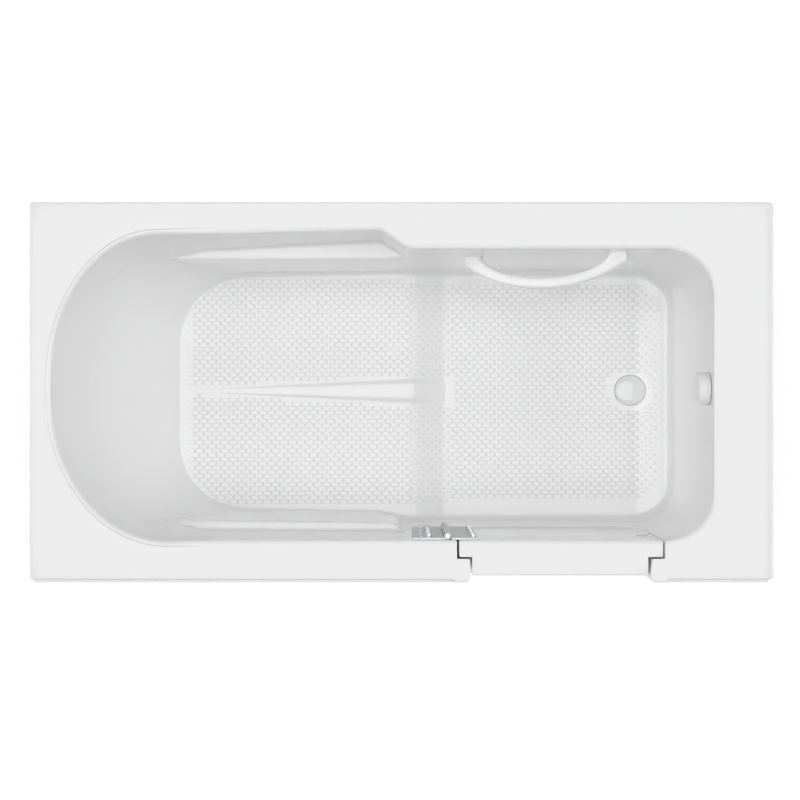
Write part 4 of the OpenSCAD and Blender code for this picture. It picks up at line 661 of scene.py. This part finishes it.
def build_door_frame():
    """A stepped profile carried round the opening: basin wall, jamb, rebate, narrow opening with
    its rounded front edge, and flange. The deck beside the opening closes its two upper ends."""
    # A row of the profile: x0, x1, z0 and r of its path, its y, and the flare of its upper ends
    rows = [(WINDOW[0], WINDOW[1], SILL - 4, 0.5, IN_F, 0)]
    wide = lambda e, y, f=3.0: rows.append((JAMB_L - e, JAMB_R + e, SILL - e, CORNER + e, y, f))

    def narrow(e, y):
        slant = 513.1 - 3.1 * np.clip((REBATE_Y - 4 - y) / 30, 0, 1)
        rows.append((141 - e, slant + e, 259 - e, 57 + e, y, 3.0))

    for s in np.linspace(0, np.pi / 2, 5):
        wide(3.4 * (1 - math.sin(s)), IN_F - 3.4 * (1 - math.cos(s)))
    for y in (-306.8, -310, -312, -318, -328, -333.2, -338.5):
        wide(0, y)
    wide(-0.7, -340.3)
    wide(-2.5, REBATE_Y)
    for s in np.linspace(0, np.pi / 2, 4):
        narrow(3 * (1 - math.sin(s)), REBATE_Y - 3 * (1 - math.cos(s)))
    for y in (-352, -362, -372, -377.6):
        narrow(0, y)
    for s in np.linspace(0, np.pi / 2, 7)[1:]:
        narrow(12 * (1 - math.cos(s)), -377.6 - 11.988 * math.sin(s))
    last_cap = len(rows)
    y_front = rows[-1][4]
    wide(-0.6, y_front, 0)
    wide(0.6, y_front + 0.5, 0)
    wide(1.0, -388.0, 0)
    wide(1.0, -383.5, 0)
    data = np.array(rows)
    y = data[:, 4]
    x, z = opening_path(*data[:, :4].T, deck_top(y), data[:, 5])
    # The jamb is left open where the strike plate lies, and the bolt enters the wall through it
    z[:, 69:76] = 345, 377, 399, 421.8, 474.2, 498, 525
    points = np.stack([x, np.broadcast_to(y[:, None], x.shape), z], -1)
    faces = np.array(grid_faces(*x.shape, False, 0, True))
    middle = points.reshape(-1, 3)[faces].mean(1)
    strike = (middle[:, 0] > JAMB_R - 2) & (np.abs(middle[:, 1] - STRIKE_Y) < 13)
    faces = faces[~(strike & (np.abs(middle[:, 2] - STRIKE_Z) < 9))].tolist()
    sets = [points.reshape(-1, 3)]
    count = len(sets[0])
    # Deck beside the opening, from the two upper ends of the path out to the window's sides
    for side, limit, outer in ((0, WINDOW[0], JAMB_L - 1), (-1, WINDOW[1], JAMB_R + 1)):
        edge = points[:last_cap, side]
        target = edge.copy()
        target[:, 0] = np.where(edge[:, 1] > Y_LIP, limit, outer)
        t = np.linspace(0, 1, 4)[None, :, None]
        cap = edge[:, None] * (1 - t) + target[:, None] * t
        sets.append(cap.reshape(-1, 3))
        faces += grid_faces(len(cap), 4, False, count, side == -1)
        count += len(sets[-1])
    thickened(piece_from("door_surround", np.concatenate(sets), faces, [acrylic, laminate], "tub",
                         ("door_frame",), "acrylic", smooth=40), FRAME_WALL)


def door_ring(x0, x1, z0, r, y, top, rt):
    """Closed outline of the door at y: lower corners of radius r and upper ones of rt."""
    q = np.linspace(0, np.pi / 2, 17)
    s = np.linspace(0, np.pi / 2, 5)
    t = np.linspace(0, 1, 11)[1:-1]
    x = np.concatenate([
        x0 + rt * (1 - np.sin(s)), np.full(9, x0), x0 + r * (1 - np.cos(q)),
        x0 + r + (x1 - x0 - 2 * r) * t, x1 - r * (1 - np.cos(q[::-1])), np.full(9, x1),
        x1 - rt * (1 - np.sin(s[::-1])), x1 - rt + (x0 - x1 + 2 * rt) * t])
    z = np.concatenate([
        top - rt * (1 - np.cos(s)), top - rt + (z0 + r - top + rt) * t, z0 + r * (1 - np.sin(q)),
        np.full(9, z0), z0 + r * (1 - np.sin(q[::-1])), z0 + r + (top - rt - z0 - r) * t,
        top - rt * (1 - np.cos(s[::-1])), np.full(9, top)])
    return np.stack([x, np.full(len(x), y), z], -1)


def build_door():
    """The door's outline carried from its inner face, over a rounded upper edge, to the flange
    that meets the seal and the plug that fills the narrow opening."""
    rings = []

    def wide(e, y, top):
        rings.append(door_ring(118 + e, 536 - e, 237 + e, 80 - e, y, top, 2.4))

    def plug(e, y, drop):
        rings.append(door_ring(144.5 + e, 506 - e, 262 + e, 53 - e, y, DECK - drop, 2.4))

    for s in np.linspace(0, np.pi / 2, 6):
        y = IN_F - 3.0 * (1 - math.cos(s))
        wide(3.0 * (1 - math.sin(s)), y, float(deck_top(y)))
    for y in (-307.5, -309.5, -312, -320, -334.5):
        wide(0, y, float(deck_top(y)))
    wide(0.7, -336.3, DECK)
    wide(2.5, -337, DECK)
    plug(0, -337, 0)
    plug(0, -355, 0)
    for s in np.linspace(0, np.pi / 2, 5):
        plug(3.5 * (1 - math.cos(s)), -371.5 - 3.5 * math.sin(s), 3.5 * (1 - math.cos(s)))
    plug(4.6, -374.6, 4.6)
    plug(5.0, -373.8, 5.0)
    plug(5.0, -366, 5.0)
    piece_from("door_moulding", *loft(rings), acrylic, "door", ("door_shell",), "acrylic",
               smooth=40)


def build_front_panel():
    """A flat panel with a softened rim, its outline carried through its thickness."""
    rings = [door_ring(149.7 + e, 500.8 - e, 267.4 + e, 47.6 - e, y, DECK - 5.4 - e, 2.0)
             for e, y in ((3.2, -370.2), (0.2, -370.2), (0.2, -373.4), (0.5, -374.4),
                          (1.5, -374.95), (3, -375))]
    piece_from("door_panel_white", *loft(rings), acrylic, "door", ("door_front_panel",),
               "acrylic", smooth=40)


# ---- Grab bar ----------------------------------------------------------------------------------
def build_grab_bar():
    """A flat-topped band carried between an outer and an inner curve. The outer one leaves the
    wall square to it and then bows, the inner one springs from the wall, so the band widens to
    its feet. Its section is |u|^n + |v|^n = 1 between the two curves, with n = 2 / 0.36, and its
    feet are sunk 5 mm into the wall."""
    slope = math.radians(21)
    middle_x, middle_z, wall_y = 305, 444, 292.5
    foot = 0.12             # share of the outer curve that is its foot
    t = np.concatenate([np.linspace(0, foot, 9)[:-1], np.linspace(foot, 1, 46)])
    past = np.clip((t - foot) / (1 - foot), 0, 1)
    outer = np.stack([-178 * (1 - past), np.minimum(t / foot, 1) * 17
                      + 54 * (1 - (1 - past) ** 2.1) ** 0.95], -1)
    inner = np.stack([-141 * (1 - t), 48 * (1 - (1 - t) ** 2.2) ** 0.62], -1)
    mirrored = lambda c: np.concatenate([c, c[-2::-1] * [-1, 1]])
    sunk = lambda c: np.concatenate([c[:1] - [0, 5], c, c[-1:] - [0, 5]])
    outer, inner = sunk(mirrored(outer)), sunk(mirrored(inner))
    middle, half = (outer + inner) / 2, (outer - inner) / 2
    tall = 11.6 + 2.6 * np.exp(-(middle[:, 1] / 16) ** 2)
    a = np.linspace(0, 2 * np.pi, 40, endpoint=False)
    blunt = lambda w: np.sign(w) * np.abs(w) ** 0.36
    u, v = blunt(np.cos(a)), blunt(np.sin(a))
    along = middle[:, 0, None] + half[:, 0, None] * u
    out = middle[:, 1, None] + half[:, 1, None] * u
    up = tall[:, None] * v
    x = middle_x + along * math.cos(slope) - up * math.sin(slope)
    z = middle_z + along * math.sin(slope) + up * math.cos(slope)
    piece_from("wall_grab_bar", *loft(np.stack([x, wall_y - out, z], -1), flip=True), trim_white,
               "tub", ("grab_bar",), "white_trim", smooth=38)


# ---- Waste and overflow ------------------------------------------------------------------------
def build_drain_cap():
    """A disc whose level top is a smaller circle set towards the seat and cut off straight at
    the other side. Outlines that pass from this D to the disc's circle make its bevel, which is
    coloured grey as painted shade, and beyond the foot of the ramp the height rises with the ramp."""
    top, rim = np.array([534.8, 6.0, 22.5]), np.array([*DRAIN, 35.4])   # centre and radius
    cut_at, level_top = 12.6, 89.0
    # Rings: share of the way from the D to the circle, share of the outline, and height
    rows = [(0.0, f, level_top) for f in (0.0, 0.2, 0.45, 0.7, 0.9, 1.0)]
    rows += [(0.04, 1, 88.93), (0.12, 1, 88.68), (0.4, 1, 87.6), (0.7, 1, 86.45), (0.9, 1, 85.6),
             (0.98, 1, 85.2), (1.0, 1, 84.8), (1.0, 1, 83.7), (0.985, 1, 83.3), (0.5, 1, 83.3),
             (0.0, 0.0, 83.3)]
    t, f, z = (np.array(v, float)[:, None] for v in zip(*rows))
    a = np.linspace(0, 2 * np.pi, 120, endpoint=False)[None]
    cut = np.minimum(top[2] * np.cos(a), cut_at)
    x = (1 - t) * (top[0] + f * cut) + t * (rim[0] + rim[2] * f * np.cos(a))
    y = (1 - t) * (top[1] + f * top[2] * np.sin(a)) + t * (rim[1] + rim[2] * f * np.sin(a))
    share = np.clip((z - 83.5) / 1.0, 0, 1)
    z = z + share * np.clip(x - RAMP_X, 0, None) * RAMP_H / (END_X - RAMP_X)
    points, faces = loft(np.stack([x, y, z + 0 * x], -1), (False, False), True)
    # Faces off the level top take the grey trim as painted shade of their slope
    bevel = [points[f, 2].min() < level_top - 0.01 or points[f, 0].max() > top[0] + cut_at + 0.1
             for f in faces]
    piece_from("drain_cap_white", points, faces, [trim_white, painted_shade_trim], "drain_stopper",
               ("drain_stopper",), "white_trim", smooth=14, part=bevel)


def build_overflow_knob():
    """A turned cap with its rim rounded, cut away on one side by a slanted plane that serves as
    the grip: the height over the wall is the lower one of the cap's and the plane's."""
    depth = 20.0
    wall_x, middle_y, middle_z = 633.8, 7.5, 500
    profile = np.array([
        (0, depth), (12, depth), (22, depth), (29, depth - 0.1), (32.2, depth - 0.9),
        (34.2, depth - 1.9), (35, depth - 3.4), (35, 9), (35, 3), (35, 0.3), (34.7, 0),
        (20, 0), (0, 0)])
    fine = [profile[0]]
    for p, q in zip(profile[:-1], profile[1:]):
        n = max(1, int(np.hypot(*(q - p)) // 1.6))
        fine += [p + (q - p) * t for t in np.linspace(0, 1, n + 1)[1:]]
    points = turned(fine, 128)
    u, v, h = points[..., 0], points[..., 1], points[..., 2]
    plane = 6.2 + (v + 33.0) * math.tan(math.radians(38))
    # The edge between the cap and the plane is rounded where they lie within 2 * soft
    soft = 0.8
    gap = plane - h
    low = h + np.where(gap < 0, gap, 0)
    blend = np.where(np.abs(gap) < soft * 2, -(gap - 2 * soft) ** 2 / (8 * soft), 0)
    grip = np.where(np.abs(gap) < soft * 2, h + blend, low)
    grip = np.where(h > 0.5, np.maximum(grip, 0.5), h)
    points = np.stack([wall_x - grip, middle_y + v, middle_z + u], -1)
    piece_from("overflow_turning_cap", *loft(points, (False, False), True), trim_white,
               "overflow_knob", ("overflow_knob",), "white_trim", smooth=32)


for build in (build_basin, build_treads, build_door_frame, build_door, build_front_panel,
              build_grab_bar, build_drain_cap, build_overflow_knob):
    build()
softened("front_apron", acrylic, "tub", 1.2, "skirt_panel")
softened("hinge_tub_leaf", satin_steel, "tub", 1.75, segments=4)
softened("hinge_door_leaf", satin_steel, "door", 1.75, segments=4)
softened("latch_knob", trim_white, "latch_knob", 0.35)
softened("strike_plate", chrome, "tub", 0.5)

# CAD nodes that keep their shape and take a finish
FINISHES = {
    steel: ["apron_brackets", "base_rails", "seat_crossbars", "footwell_crossbars", "frame_posts",
            "post_plates", "grab_bar_plates", "door_uprights", "latch_case"],
    chrome: ["foot_studs", "foot_nuts", "hinge_tub_bolts", "hinge_pin", "strike_screws",
             "grab_bar_bolts", "drain_body", "waste_tailpiece", "hinge_door_bolts", "latch_bolt"],
    trim_white: ["apron_screws", "overflow_flange", "door_panel_screws"],
    plywood: ["seat_board", "footwell_board"],
    rubber: ["foot_pads", "door_gasket", "drain_gasket", "overflow_gasket"],
    pipe_grey: ["drain_shoe", "waste_arm", "waste_tee", "overflow_elbow", "overflow_pipe",
                "slip_nuts", "hinge_washers"],
    sheath: ["control_cable"],
}
for kept, names in FINISHES.items():
    for name in names:
        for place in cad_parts[name].material_slots:
            place.material = kept


# ---- Floor, light and camera -------------------------------------------------------------------
def seen_rays(nodes, links):
    """1 for the rays that see the background, straight, mirrored or through; 0 for light."""
    path = nodes.new("ShaderNodeLightPath")
    shown = path.outputs["Is Camera Ray"]
    for ray in ("Is Glossy Ray", "Is Transmission Ray"):
        either = nodes.new("ShaderNodeMath")
        either.operation = "MAXIMUM"
        links.new(shown, either.inputs[0])
        links.new(path.outputs[ray], either.inputs[1])
        shown = either.outputs[0]
    return shown


def build_floor():
    """A wide level floor that looks white to the camera and keeps the tub's soft shadow."""
    mesh = bpy.data.meshes.new("studio_floor")
    mesh.from_pydata([(-9, -9, 0), (9, -9, 0), (9, 9, 0), (-9, 9, 0)], [], [(0, 1, 2, 3)])
    obj = bpy.data.objects.new("studio_floor", mesh)
    bpy.context.scene.collection.objects.link(obj)
    mat = bpy.data.materials.new("studio floor")
    mat.use_nodes = True
    nodes, links = mat.node_tree.nodes, mat.node_tree.links
    nodes.clear()
    out = nodes.new("ShaderNodeOutputMaterial")
    add = nodes.new("ShaderNodeAddShader")
    soft = nodes.new("ShaderNodeBsdfDiffuse")
    soft.inputs["Color"].default_value = (0.42, 0.42, 0.42, 1)
    glow = nodes.new("ShaderNodeEmission")
    power = nodes.new("ShaderNodeMath")
    power.operation = "MULTIPLY"
    power.inputs[1].default_value = 0.73
    links.new(seen_rays(nodes, links), power.inputs[0])
    links.new(power.outputs[0], glow.inputs["Strength"])
    links.new(soft.outputs[0], add.inputs[0])
    links.new(glow.outputs[0], add.inputs[1])
    links.new(add.outputs[0], out.inputs["Surface"])
    mesh.materials.append(mat)


# A plain world, a soft light overhead, and some beyond each side that light the walls and draw a
# line of light along the rolled edges: name, level, spread and lean in degrees, and the way it
# leans from
SKY_LEVEL = 0.285
PANELS = [("overhead", 0.66, 44, 0, 0),
          ("drain end high", 0.32, 22, 40, 0), ("drain end low", 0.38, 18, 70, 0),
          ("head end high", 0.36, 22, 40, 180), ("head end low", 0.24, 18, 58, 180),
          ("front", 0.11, 12, 44, -90), ("back", 0.11, 12, 44, 90)]


def studio():
    """The world that lights evenly and shows as white, the lamps, and the photo's camera."""
    scene = bpy.context.scene
    world = bpy.data.worlds.new("studio air")
    world.use_nodes = True
    nodes, links = world.node_tree.nodes, world.node_tree.links
    back = nodes["Background"]
    back.inputs["Color"].default_value = (1, 1, 1, 1)
    strength = nodes.new("ShaderNodeMapRange")
    strength.inputs["To Min"].default_value = SKY_LEVEL
    strength.inputs["To Max"].default_value = 1.0
    links.new(seen_rays(nodes, links), strength.inputs["Value"])
    links.new(strength.outputs["Result"], back.inputs["Strength"])
    scene.world = world
    for side, power, spread, lean, towards in PANELS:
        glow = bpy.data.lights.new(f"{side} panel", "SUN")
        glow.energy, glow.angle = power, math.radians(spread)
        panel = bpy.data.objects.new(f"{side} panel", glow)
        panel.location = (0, 0, 4)
        panel.rotation_euler = (0, math.radians(lean), math.radians(towards))
        scene.collection.objects.link(panel)
    scene.view_settings.view_transform = "Standard"
    # The photo looks straight down from 3 m above the deck, a little off the tub's middle
    lens = bpy.data.cameras.new("photo camera")
    lens.lens, lens.sensor_width = 65.92, 36
    eye = bpy.data.objects.new("photo camera", lens)
    eye.location = (-0.0031, -0.0154, 3.560)
    scene.collection.objects.link(eye)
    scene.camera = eye


build_floor()
studio()
